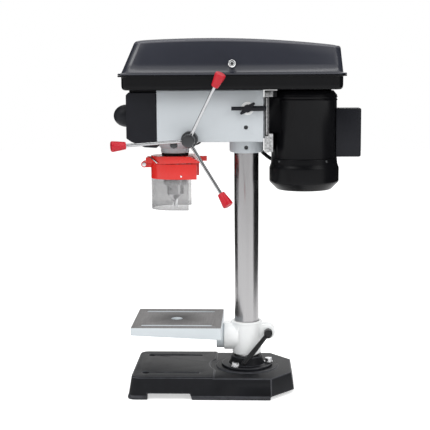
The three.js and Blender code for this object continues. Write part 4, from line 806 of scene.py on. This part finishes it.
# %% Belt housing
PAN_TUCK = 7 * MM
PAN_CURVE = 9 * MM
LIP_CURVE = 1.5 * MM
LID_GAP = 0.3 * MM
HUB_HOLE = 27 * MM
MOTOR_HOLE = 24 * MM
THROUGH = 30 * MM
pan_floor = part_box("belt_housing")[0].z
pan_top = lid_low.z - LID_GAP
lip_foot = pan_top - LIP_THICK
pan_inside = pan_floor + SHELL
pan_side = [
    *bezier((-PAN_TUCK, pan_floor), (0, pan_floor), (0, pan_floor + PAN_CURVE), 6),
    *bezier((0, lip_foot - LIP_CURVE), (0, lip_foot), (LIP_CURVE, lip_foot), 3),
    *near_edge(LIP, lip_foot, MM, 3),
    *far_edge(LIP, pan_top, MM, 3),
    (-SHELL, pan_top),
    *bezier((-SHELL, pan_inside + PAN_CURVE), (-SHELL, pan_inside), (-SHELL - PAN_TUCK, pan_inside), 6),
]
pan = lofted([cover_outline(grow, height) for grow, height in pan_side])
spindle_axis, motor_axis = middle_of("spindle_pulley"), middle_of("motor_pulley")
for axis, radius in ((spindle_axis, HUB_HOLE), (motor_axis, MOTOR_HOLE)):
    pan = cut(pan, pin_hole((axis.x, axis.y, pan_floor), UPRIGHT, radius, THROUGH))
pan = joined(pan, hinge_leaves("belt_housing", pan_floor))
belt_pan = add_piece("belt_pan", pan, "black_paint", "belt_housing")
print("pan faces", len(belt_pan.data.polygons))

# %% [markdown]
# The lid's roof falls a little to both ends from its highest point over the spindle. Its corner
# where side and roof meet is rounded about as wide as a finger, in five steps.

# %% Belt lid outlines
CROWN_FALL = 41 * MM
CROWN_SHARE = 0.3865
LID_FRONT_TAPER = 23.2 * MM
LID_REAR_TAPER = 3.9 * MM
LID_SIDE_TAPER = 24 * MM
ROOF_ROUND = 6.5 * MM
ROOF_STEPS = 5
FOOT_CURVE = 2 * MM
crown_x = cover_front + CROWN_SHARE * (cover_rear - cover_front)
side_foot = lid_low.z + LIP_THICK
side_rise = lid_high.z - side_foot


def roof_height(x, drop=0):
    share = (x - crown_x) / (cover_rear - cover_front)
    return lid_high.z - drop - CROWN_FALL * share * share


def lid_outline(rise, inset=0, wall=0):
    """An outline of the lid's side at a share of its rise, drawn in by an inset on the roof."""
    front = cover_front + LID_FRONT_TAPER * rise + inset + wall
    rear = cover_rear - LID_REAR_TAPER * rise - inset - wall
    half = cover_half - LID_SIDE_TAPER * rise - inset - wall
    return rounded_outline(front, rear, half, COVER_CORNER - wall,
                           lambda x: side_foot + (roof_height(x, wall) - side_foot) * rise)


outer = []
for i in range(ROOF_STEPS + 1):
    t = i / ROOF_STEPS
    outer.append(lid_outline(1 - ROOF_ROUND / side_rise * (1 - t) ** 2, ROOF_ROUND * t * t))
rings = [
    *[lid_outline(rise, wall=SHELL) for rise in (1, 0.5, 0)],
    cover_outline(-SHELL, lid_low.z),
    cover_outline(LIP - MM / 2, lid_low.z),
    cover_outline(LIP, lid_low.z + MM / 2),
    cover_outline(LIP, side_foot - MM),
    cover_outline(LIP - MM, side_foot),
    cover_outline(FOOT_CURVE, side_foot),
    *[lid_outline(rise) for rise in (FOOT_CURVE / side_rise, 0.3, 0.6)],
    *outer,
]
print("lid outlines", len(rings), "of", len(rings[0]), "points")

# %% [markdown]
# The corner between side and roof takes the cover's second finish, a paler paint that is a painted
# highlight for the light that corner catches. Its faces are known by their lean and by their height.

# %% Belt lid
KNOB_HOLE = 3.3 * MM
ACROSS_SIDE = 60 * MM
LEAVES_BELOW = 10 * MM
EDGE_LEAN = (0.1, 0.92)
HIGHLIGHT_BAND = 6 * MM
knob_hole = pin_hole(middle_of("lid_knob"), ALONG_Y, KNOB_HOLE, ACROSS_SIDE, 24)
lid = cut(lofted(rings), knob_hole)
lid = joined(lid, hinge_leaves("belt_lid", lid_low.z - LEAVES_BELOW))
lid_shell = add_piece("lid_shell", lid, "cover_paint", "belt_lid")


def in_painted_highlight_band(polygon):
    above = polygon.center.z > roof_height(polygon.center.x) - HIGHLIGHT_BAND
    return above and EDGE_LEAN[0] < polygon.normal.z < EDGE_LEAN[1]


highlight_faces = give_faces(lid_shell, "cover_edge", in_painted_highlight_band)
print("lid faces", len(lid_shell.data.polygons), "of them in the pale band", highlight_faces)

# %% [markdown]
# ## Table
# The real table is painted cast iron whose top is ground bright after painting. So its upward faces
# take a second finish, and the slots and the apron keep the paint.

# %% Table
TABLE_EDGE = 0.8
LEVEL_FACE = 0.9
table_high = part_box("table")[1]
table_piece = dressed("table", "table_paint", TABLE_EDGE)
print("ground faces", give_faces(
    table_piece, "ground_table_top",
    lambda p: p.normal.z > LEVEL_FACE and p.center.z > table_high.z - MM))

# %% [markdown]
# ## Column and motor
# The column is drawn steel tube and the motor's shell is a drawn can, so both are turned again from
# their outline with many sides. The can has two pressed rings near its top, and the end bell under
# it is a wider cup with a straight chamfer. The motor's foot is the CAD solid's own.

# %% Column
def measured(node):
    """Middle, radius and heights of an upright round piece."""
    low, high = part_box(node)
    middle = (low + high) / 2
    return Vector((middle.x, middle.y, 0)), (high.y - low.y) / 2, low.z, high.z


TUBE_WALL = 3 * MM
TUBE_EDGE = 1.2 * MM
column_middle, column_radius, column_foot, column_top = measured("column")
column_work = turned([
    (column_radius - TUBE_WALL, column_foot),
    (column_radius, column_foot),
    *far_edge(column_radius, column_top, TUBE_EDGE, 4),
    (column_radius - TUBE_WALL, column_top),
], column_middle, UPRIGHT, 128)
add_piece("column_tube", column_work, "column_steel", "column")
print("column radius", round(column_radius, 4))

# %% [markdown]
# The can's outline runs up the outside with its two pressed rings, over the cap and its low dome, and
# down the inside. The foot by which the motor hangs is cut out of the plain solid and joined to it.

# %% Motor can
bell_middle, bell_radius, bell_foot, bell_top = measured("motor_end_bell")
body_low, body_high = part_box("motor_body")
can_foot, can_top = body_low.z, body_high.z
RING_OUT = 1 * MM
RING_BREADTH = 2.4 * MM
RING_GAPS = (11.6 * MM, 17.0 * MM)
RING_GROOVE = 0.8 * MM
CAP_REACH = 9 * MM
CAP_RADIUS = 54.5 * MM
CAP_EDGE = 2 * MM
DOME_RADIUS = 51 * MM
DOME_RISE = 2.3 * MM
CAN_WALL = 3 * MM
SHAFT_HOLE = 7.6 * MM
FOOT_SHARE = 0.72
can_radius = (body_high.y - body_low.y) / 2 - RING_OUT
foot_rear = bell_middle.x - can_radius * FOOT_SHARE
dome_top = can_top + DOME_RISE
outline = [(can_radius - CAN_WALL, can_foot), (can_radius, can_foot)]
for gap in reversed(RING_GAPS):
    ring_z = can_top - gap
    outline += [(can_radius - RING_GROOVE, ring_z - RING_BREADTH / 2), (can_radius + RING_OUT, ring_z),
                (can_radius - RING_GROOVE, ring_z + RING_BREADTH / 2)]
outline += [
    (can_radius, can_top - CAP_REACH),
    *bezier((CAP_RADIUS + MM, can_top - CAP_EDGE), (CAP_RADIUS, can_top),
            (CAP_RADIUS - CAP_EDGE, can_top), 5),
    (DOME_RADIUS, can_top),
    (DOME_RADIUS - DOME_RISE, dome_top),
    (SHAFT_HOLE, dome_top),
    (SHAFT_HOLE, can_top - CAN_WALL),
    (CAP_RADIUS - CAN_WALL, can_top - CAN_WALL),
    (can_radius - CAN_WALL, can_top - CAP_REACH),
]
motor_foot = part_of("motor_body", (body_low.x - MM, body_low.y, can_foot),
                     (foot_rear, body_high.y, can_top - CAP_REACH))
can = joined(turned(outline, bell_middle, UPRIGHT, 96), motor_foot)
add_piece("motor_can", can, "black_paint", "motor_body")
print("can radius", round(can_radius, 4), "top", round(can_top, 4))

# %% [markdown]
# The end bell is one cup. Rounding the inner corners of a plain outline gives its soft corners, so
# the list below can be read as the drawing of the part.

# %% End bell
CHIN = 50 * MM
FLARE_LOW = 15 * MM
FLARE_HIGH = 42 * MM
NECK = 48 * MM
BELL_WALL = 4 * MM
BELL_CORNER = 3 * MM
GLAND_ASIDE = 20 * MM
bell_outline = softened([
    (0, bell_foot),
    (CHIN, bell_foot),
    (bell_radius, bell_foot + FLARE_LOW),
    (bell_radius, bell_foot + FLARE_HIGH),
    (can_radius + RING_OUT, bell_foot + NECK),
    (can_radius, bell_top),
    (can_radius - BELL_WALL, bell_top),
    (can_radius - BELL_WALL, bell_foot + NECK - BELL_WALL),
    (bell_radius - BELL_WALL, bell_foot + FLARE_HIGH - BELL_WALL),
    (bell_radius - BELL_WALL, bell_foot + FLARE_LOW),
    (CHIN - BELL_WALL, bell_foot + BELL_WALL),
    (0, bell_foot + BELL_WALL),
], BELL_CORNER)
bell_low, bell_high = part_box("motor_end_bell")
lead_gland = part_of("motor_end_bell",
                     (bell_low.x - MM, column_middle.y + GLAND_ASIDE, bell_foot + FLARE_HIGH),
                     (foot_rear, bell_high.y, bell_top))
bell = joined(turned(bell_outline, bell_middle, UPRIGHT, 96), lead_gland)
add_piece("motor_bell", bell, "black_paint", "motor_end_bell")
print("bell radius", round(bell_radius, 4))

# %% [markdown]
# Four screws hold the bell to the can. They are equal and stand at equal places round the axis, so a
# small geometry-node tree sets one screw on four points and turns each to face outward.

# %% Node tree that repeats a piece
def ring_tree(name, sample):
    """A tree that sets copies of one mesh round an upright axis, each turned to face outward."""
    tree = bpy.data.node_groups.new(name, "GeometryNodeTree")
    for label in ("Count", "Radius", "Height", "Phase"):
        kind = "NodeSocketInt" if label == "Count" else "NodeSocketFloat"
        tree.interface.new_socket(label, in_out="INPUT", socket_type=kind)
    tree.interface.new_socket("Geometry", in_out="OUTPUT", socket_type="NodeSocketGeometry")
    given = tree.nodes.new("NodeGroupInput").outputs
    index = add_node(tree, "GeometryNodeInputIndex").outputs[0]
    step = calculate(tree, "DIVIDE", TURN, given["Count"])
    angle = calculate(tree, "ADD", calculate(tree, "MULTIPLY", index, step), given["Phase"])
    place = add_node(tree, "ShaderNodeCombineXYZ", {
        "X": calculate(tree, "MULTIPLY", calculate(tree, "COSINE", angle), given["Radius"]),
        "Y": calculate(tree, "MULTIPLY", calculate(tree, "SINE", angle), given["Radius"]),
        "Z": given["Height"],
    }).outputs[0]
    facing = add_node(tree, "ShaderNodeCombineXYZ", {"Z": angle}).outputs[0]
    circle = add_node(tree, "GeometryNodeMeshCircle", {"Vertices": given["Count"]}).outputs[0]
    points = add_node(tree, "GeometryNodeSetPosition", {"Geometry": circle, "Position": place}).outputs[0]
    thing = add_node(tree, "GeometryNodeObjectInfo", {"Object": sample}).outputs["Geometry"]
    copies = add_node(tree, "GeometryNodeInstanceOnPoints", {
        "Points": points, "Instance": thing, "Rotation": facing}).outputs[0]
    real = add_node(tree, "GeometryNodeRealizeInstances", {0: copies}).outputs[0]
    add_node(tree, "NodeGroupOutput", {0: real})
    return tree


def repeated(name, work, middle, **values):
    """Copies of one small piece round an upright axis, as plain faces."""
    sample = scratch_object(work)
    host = scratch_object(bmesh.new())
    change = host.modifiers.new("repeat", "NODES")
    change.node_group = ring_tree(name, sample)
    for item in change.node_group.interface.items_tree:
        if item.in_out == "INPUT":
            change[item.identifier] = values[item.name]
    host.update_tag()
    evaluated = host.evaluated_get(bpy.context.evaluated_depsgraph_get())
    mesh = bpy.data.meshes.new_from_object(evaluated)
    host.modifiers.clear()
    bpy.data.objects.remove(host)
    bpy.data.objects.remove(sample)
    mesh.transform(Matrix.Translation(middle))
    result = bmesh.new()
    result.from_mesh(mesh)
    bpy.data.meshes.remove(mesh)
    return result


print("repeating tree ready")

# %% Bell screws
SCREW = 3.2 * MM
SCREW_RISE = SCREW * 0.7
SCREW_PROUD = SCREW * 0.2
SCREW_SLOT = 1 * MM
SCREW_ANGLE = math.radians(40)
SCREW_BELOW = 4.5 * MM
CROWN_SHOULDER = 0.9
SLOT_FLOOR = 0.35


def screw_head(radius, height, slot):
    """A slotted pan head that faces +X, its seat at the origin."""
    crown = bezier((radius, -height), (radius, height), (0, height * CROWN_SHOULDER), 6)
    head = turned([(0, -height), *crown], (0, 0, 0), ALONG_X, 24)
    groove = box_faces((height * SLOT_FLOOR, -slot / 2, -radius), (2 * height, slot / 2, radius))
    return cut(head, groove)


screws = repeated("bell_screws", screw_head(SCREW, SCREW_RISE, SCREW_SLOT), bell_middle, Count=4,
                  Radius=can_radius + SCREW_PROUD, Height=bell_top - SCREW_BELOW, Phase=SCREW_ANGLE)
bell_screws = add_piece("bell_screws", screws, "dark_steel", "motor_end_bell", on_top=True)
print("bell screws", len(bell_screws.data.polygons))

# %% [markdown]
# ## Feed handles
# The pinion's hub carries three steel rods, each with a moulded grip that widens to its outer end.
# They lean toward the operator. The axis comes from the dial's box and the lean from the rods' own
# length and reach.

# %% Feed handles
dial_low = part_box("depth_dial")[0]
dial_middle = middle_of("depth_dial")
feed_axis = Vector((dial_middle.x, 0, dial_middle.z))
ROD = 3 * MM
ROD_TIP = 0.7
ROD_ROOT = 5 * MM
ROD_REACH = 118 * MM
ROD_ROOT_OUT = 24 * MM
ROD_END_OUT = 62 * MM
ROD_PHASE = math.radians(63)
GRIP_LENGTH = 26 * MM
GRIP_OVER = 11 * MM
GRIP_THIN = 6.7 * MM
GRIP_THICK = 9.7 * MM
GRIP_FLARE = 0.3 * MM
GRIP_END = 3 * MM


def spoke(index, radius, out):
    """A point of a rod's middle line: its distance from the axis and how far it stands out."""
    angle = ROD_PHASE + index * TURN / 3
    return Vector((feed_axis.x + radius * math.cos(angle), dial_low.y - out,
                   feed_axis.z + radius * math.sin(angle)))


for index in range(3):
    start = spoke(index, ROD_ROOT, ROD_ROOT_OUT)
    along = spoke(index, ROD_REACH, ROD_END_OUT) - start
    length = along.length
    rod_work = turned([(0, 0), (ROD, 0), (ROD, length - ROD / 4), (ROD * ROD_TIP, length), (0, length)],
                      start, along, 36)
    add_piece(f"feed_rod_{index + 1}", rod_work, "rod_steel", f"feed_arm_{index + 1}")
    inner = length - GRIP_OVER
    outer_end = inner + GRIP_LENGTH
    grip_work = turned([
        (0, inner),
        *near_edge(GRIP_THIN, inner, MM, 3),
        (GRIP_THICK - GRIP_FLARE, outer_end - 2 * GRIP_END),
        *far_edge(GRIP_THICK, outer_end, GRIP_END, 6),
        (0, outer_end),
    ], start, along, 48)
    add_piece(f"feed_knob_{index + 1}", grip_work, "grip_red", f"feed_grip_{index + 1}")
print("feed axis", [round(c, 4) for c in feed_axis])

# %% [markdown]
# The hub and the depth dial are turned on the same axis. Their outer edge is rounded on the side of
# the operator, and the dial is bored for the pinion.

# %% Hub and dial
HUB_EDGE = 3 * MM
DIAL_EDGE = 1.5 * MM
DIAL_BORE = 8.3 * MM


def turned_disc(node, bore, edge, steps, sides):
    """A disc on the feed axis that fills the node's box, with a rounded edge on the near side."""
    low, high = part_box(node)
    radius = (high.z - low.z) / 2
    return turned([(bore, low.y), *near_edge(radius, low.y, edge, steps), (radius, high.y),
                   (bore, high.y)], feed_axis, ALONG_Y, sides)


add_piece("hub", turned_disc("feed_hub", 0, HUB_EDGE, 4, 64), "dark_steel", "feed_hub")
add_piece("dial", turned_disc("depth_dial", DIAL_BORE, DIAL_EDGE, 3, 72), "dark_steel", "depth_dial")
print("hub and dial turned")

# %% [markdown]
# ## Lid knob
# The knob that locks the lid is a small bright button with a dished face and a dark slotted screw in
# its middle. Its shank goes through the lid's side.

# %% Lid knob
KNOB_DEPTH = 7 * MM
KNOB_DISH = 1.2 * MM
DISH_SHARE = 0.55
CROWN_FROM = 0.72
CROWN_DEPTH = 0.25
SCREW_SHARE = 0.42
SCREW_SUNK = 0.3 * MM
SLIT = 1 * MM
SLIT_DEPTH = 0.9 * MM
SHANK_PLAY = 0.4 * MM
SHANK_SHORT = 0.2 * MM
knob_low, knob_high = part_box("lid_knob")
KNOB = (knob_high.x - knob_low.x) / 2
knob_place = Vector((middle_of("lid_knob").x, knob_low.y, middle_of("lid_knob").z))
shank = (knob_high.y - knob_low.y) - SHANK_SHORT
knob_work = turned([
    (0, KNOB_DISH),
    (KNOB * DISH_SHARE, KNOB_DISH),
    *bezier((KNOB * CROWN_FROM, 0), (KNOB, 0), (KNOB, KNOB * CROWN_DEPTH), 5),
    (KNOB, KNOB_DEPTH),
    (KNOB_HOLE - SHANK_PLAY, KNOB_DEPTH),
    (KNOB_HOLE - SHANK_PLAY, shank),
    (0, shank),
], knob_place, ALONG_Y, 48)
add_piece("lid_button", knob_work, "polished_steel", "lid_knob")
screw_radius = KNOB * SCREW_SHARE
screw_work = turned([(0, SCREW_SUNK), (screw_radius, SCREW_SUNK), (screw_radius, 2 * KNOB_DISH),
                     (0, 2 * KNOB_DISH)], knob_place, ALONG_Y, 24)
slit = box_faces(knob_place + Vector((-KNOB, -MM, -SLIT / 2)),
                 knob_place + Vector((KNOB, SLIT_DEPTH, SLIT / 2)))
add_piece("lid_button_screw", cut(screw_work, slit), "dark_steel", "lid_knob", on_top=True)
print("knob", round(KNOB, 4))

# %% [markdown]
# ## Motor mount
# Between head and motor the mount shows the rough side of its casting. A dark strip in the black rubber
# finish is inset into the casting's two side faces: it is painted shade, standing in for the shadowed
# gaps round the casting.
# What lies behind the casting belongs to the motor and is painted black.

# %% Motor mount
MOUNT_EDGE = 0.2
SHADE_STRIP_WIDTH = 2 * MM
SHADE_STRIP_INSET = 0.3 * MM
SHADE_STRIP_LOW = 30 * MM
SHADE_STRIP_HIGH = 10 * MM
LEAST_FACE = 1e-4
SQUARE_ON = 0.99
CASTING_REAR = 49 * MM
PAINTED_SHADE_SLOT, BLACK = 1, 2
mount_low, mount_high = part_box("motor_mount")
casting_rear = COLUMN.x + CASTING_REAR
shade_strip_low, shade_strip_high = mount_low.z + SHADE_STRIP_LOW, mount_high.z - SHADE_STRIP_HIGH
mount_piece = dressed("motor_mount", "rough_casting", MOUNT_EDGE)
for finish in ("black_rubber", "black_paint"):
    mount_piece.data.materials.append(MATERIALS[finish])
mount_work = bmesh.new()
mount_work.from_mesh(mount_piece.data)
for place, normal in (((0, 0, shade_strip_low), UPRIGHT), ((0, 0, shade_strip_high), UPRIGHT),
                      ((casting_rear, 0, 0), ALONG_X)):
    everything = mount_work.verts[:] + mount_work.edges[:] + mount_work.faces[:]
    bmesh.ops.bisect_plane(mount_work, geom=everything, plane_co=place, plane_no=normal)
sides = []
for face in mount_work.faces:
    middle = face.calc_center_median()
    if middle.x > casting_rear:
        face.material_index = BLACK
    beside = abs(middle.y - COLUMN.y) > mount_high.y - COLUMN.y - MM
    level_with = abs(middle.z - (shade_strip_low + shade_strip_high) / 2) < SHADE_STRIP_HIGH
    if abs(face.normal.y) > SQUARE_ON and face.calc_area() > LEAST_FACE and level_with and beside:
        sides.append(face)
# painted shade: each side face gets a dark inset strip in the black rubber finish
for side in sides:
    bmesh.ops.inset_region(mount_work, faces=[side], thickness=SHADE_STRIP_INSET, use_even_offset=True)
    rim = bmesh.ops.inset_region(mount_work, faces=[side], thickness=SHADE_STRIP_WIDTH, use_even_offset=True)
    for face in rim["faces"]:
        face.material_index = PAINTED_SHADE_SLOT
mount_work.to_mesh(mount_piece.data)
mount_work.free()
print("mount sides", len(sides))

# %% [markdown]
# ## Guard rivet
# One bright rivet holds the clear shield in the red band, on the operator's side.

# %% Guard rivet
RIVET = 1.9 * MM
RIVET_HEIGHT = 1 * MM
RIVET_X = 14 * MM
RIVET_RISE = 6 * MM
RIVET_SUNK = 0.4 * MM
guard_low, guard_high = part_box("guard_frame")
guard_side = COLUMN.y - (guard_high.y - guard_low.y) / 2
rivet_place = Vector((spindle_axis.x + RIVET_X, guard_side + RIVET_SUNK, guard_low.z + RIVET_RISE))
rivet_head = bezier((RIVET, RIVET_SUNK), (RIVET, RIVET_HEIGHT), (0, RIVET_HEIGHT), 4)
rivet_work = turned([(0, 0), (RIVET, 0), *rivet_head], rivet_place, (0, -1, 0), 24)
add_piece("guard_rivet", rivet_work, "polished_steel", "guard_frame", on_top=True)
print("rivet at", [round(c, 4) for c in rivet_place])

# %% [markdown]
# ## Switch dome and box
# The large dome is a moulded cap. It is turned from half an outline: a short straight skirt that
# runs into a full round. The box has a shallow round pocket behind it, so that the dome can sink in
# when it is pressed and no light shows behind it at rest.

# %% Switch dome
DOME_SKIRT = 6 * MM
DOME_STEPS = 14
STEM = 7 * MM
POCKET_DEPTH = 5 * MM
POCKET_GAP = 0.5 * MM
dome_low, dome_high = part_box("stop_button")
dome_place = Vector((0, middle_of("stop_button").y, middle_of("stop_button").z))
DOME = (dome_high.z - dome_low.z) / 2
box_low, box_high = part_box("switch_box")
dome_base = box_low.x + POCKET_GAP / 2
skirt_end = dome_base - DOME_SKIRT
arc = []
for i in range(DOME_STEPS):
    angle = math.pi / 2 * i / DOME_STEPS
    arc.append((DOME * math.cos(angle), skirt_end + (dome_low.x - skirt_end) * math.sin(angle)))
dome_work = turned([(0, dome_high.x), (STEM, dome_high.x), (STEM, dome_base), (DOME - MM, dome_base),
                    (DOME, dome_base - MM), *arc, (0, dome_low.x)], dome_place, ALONG_X, 64)
add_piece("switch_dome", dome_work, "black_plastic", "stop_button")
print("dome", round(DOME, 4), "proud", round(dome_base - dome_low.x, 4))

# %% Switch box
BOX_EDGE = 1.4 * MM
box_work = work_copy("switch_box")
rounded(box_work, BOX_EDGE)
pocket = pin_hole((box_low.x, dome_place.y, dome_place.z), ALONG_X, DOME + POCKET_GAP,
                  2 * POCKET_DEPTH, 64)
box_shell = add_piece("box_shell", cut(box_work, pocket), "black_plastic", "switch_box")
print("pocket", POCKET_DEPTH, "box faces", len(box_shell.data.polygons))

# %% [markdown]
# A black block fills the slit between the switch box and the belt cover. It is painted shade: a dark
# thing set where the slit lies only in shade. It rides on the box's body.

# %% Black block in the slit, painted shade
SHADE_BLOCK_INSET = 6 * MM
SHADE_BLOCK_GAP = 0.3 * MM
shade_block_top = pan_floor - SHADE_BLOCK_GAP
shade_block_work = box_faces((box_low.x + SHADE_BLOCK_INSET, box_low.y + SHADE_BLOCK_INSET, box_high.z - MM),
                      (box_high.x - MM, box_high.y - SHADE_BLOCK_INSET, shade_block_top))
add_piece("box_seal", shade_block_work, "black_rubber", "switch_box", on_top=True)
print("seal", round(shade_block_top - box_high.z, 4))

# %% [markdown]
# ## Base and flange
# The rounded strips of these two pieces take a paler finish, a painted highlight that stands in for the
# light their rounded edges catch, and the faces between them the plain paint.

# %% Base and flange
BASE_EDGE = 1.8
FLANGE_EDGE = 0.9
dressed("base", "black_iron", BASE_EDGE, edge_finish="rubbed_iron")
dressed("column_flange", "black_iron", FLANGE_EDGE, edge_finish="rubbed_iron")
print("base edge", widths["base"][1], "flange edge", widths["column_flange"][1])

# %% [markdown]
# ## Pieces whose solid is already right
# The rest keep their plain solid's form and get only rounded edges and a finish. The width, in
# millimetres, follows how the real part is made: wide on castings and mouldings, narrow on turned
# and pressed parts.

# %% Dressed pieces
DRESSED = [
    ("grey_paint", 0.4, "head_casting"),
    ("white_paint", 1.2, "table_bracket"),
    ("black_paint", 0.8, "spring_cap"),
    ("black_plastic", 1.6, "capacitor_box"),
    ("black_plastic", 0.6, "tension_lock"),
    ("black_plastic", 0.4, "cord_gland"),
    ("lever_plastic", 0.8, "bracket_lock_lever"),
    ("start_green", 0.4, "start_button"),
    ("guard_red", 0.2, "guard_bracket"),
    ("guard_red", 0.1, "guard_frame"),
    ("shield_clear", 0.2, "guard_shield"),
    ("black_rubber", 0.6, "quill_bumper"),
    ("black_rubber", 0.3, "v_belt"),
    ("black_rubber", 0.2, "motor_lead"),
    ("bright_steel", 0.5, "slide_rod_1 slide_rod_2"),
    ("bright_steel", 0.4, "flange_bolt_1 flange_bolt_2 flange_bolt_3"),
    ("bright_steel", 0.3, "quill spindle lower_bearing upper_bearing guard_pin"),
    ("bright_steel", 0.2, "pinion_shaft"),
    ("polished_steel", 0.2, "guard_spring"),
    ("chuck_steel", 0.3, "chuck_body chuck_sleeve"),
    ("pulley_metal", 0.3, "spindle_pulley motor_pulley"),
    ("dark_steel", 0.4, "bracket_clamp_bolt table_tilt_bolt"),
    ("dark_steel", 0.3, "quill_guide_screw motor_rotor"),
    ("dark_steel", 0.2, "head_set_screw collar_set_screw"),
    ("dark_steel", 0.1, "return_spring"),
]
JAW_EDGE = 0.2
for finish, width, nodes in DRESSED:
    for node in nodes.split():
        dressed(node, finish, width)
for count in (1, 2, 3):
    dressed(f"chuck_jaw_{count}", "polished_steel", JAW_EDGE)
narrowed = {node: round(used, 2) for node, (asked, used) in widths.items() if used < asked}
print("dressed", len(widths), "narrowed", narrowed)

# %% [markdown]
# The round boss behind the tension knob stands out from the head, and its face takes the white paint,
# paler than the head's grey. It is the head's outermost part on the near side, so its face is found by
# its place.

# %% Boss of the tension knob
head_piece = bpy.data.objects["seen_head_casting"]
boss_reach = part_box("head_casting")[0].y + MM / 2
print("boss faces", give_faces(head_piece, "white_paint", lambda p: p.center.y < boss_reach))
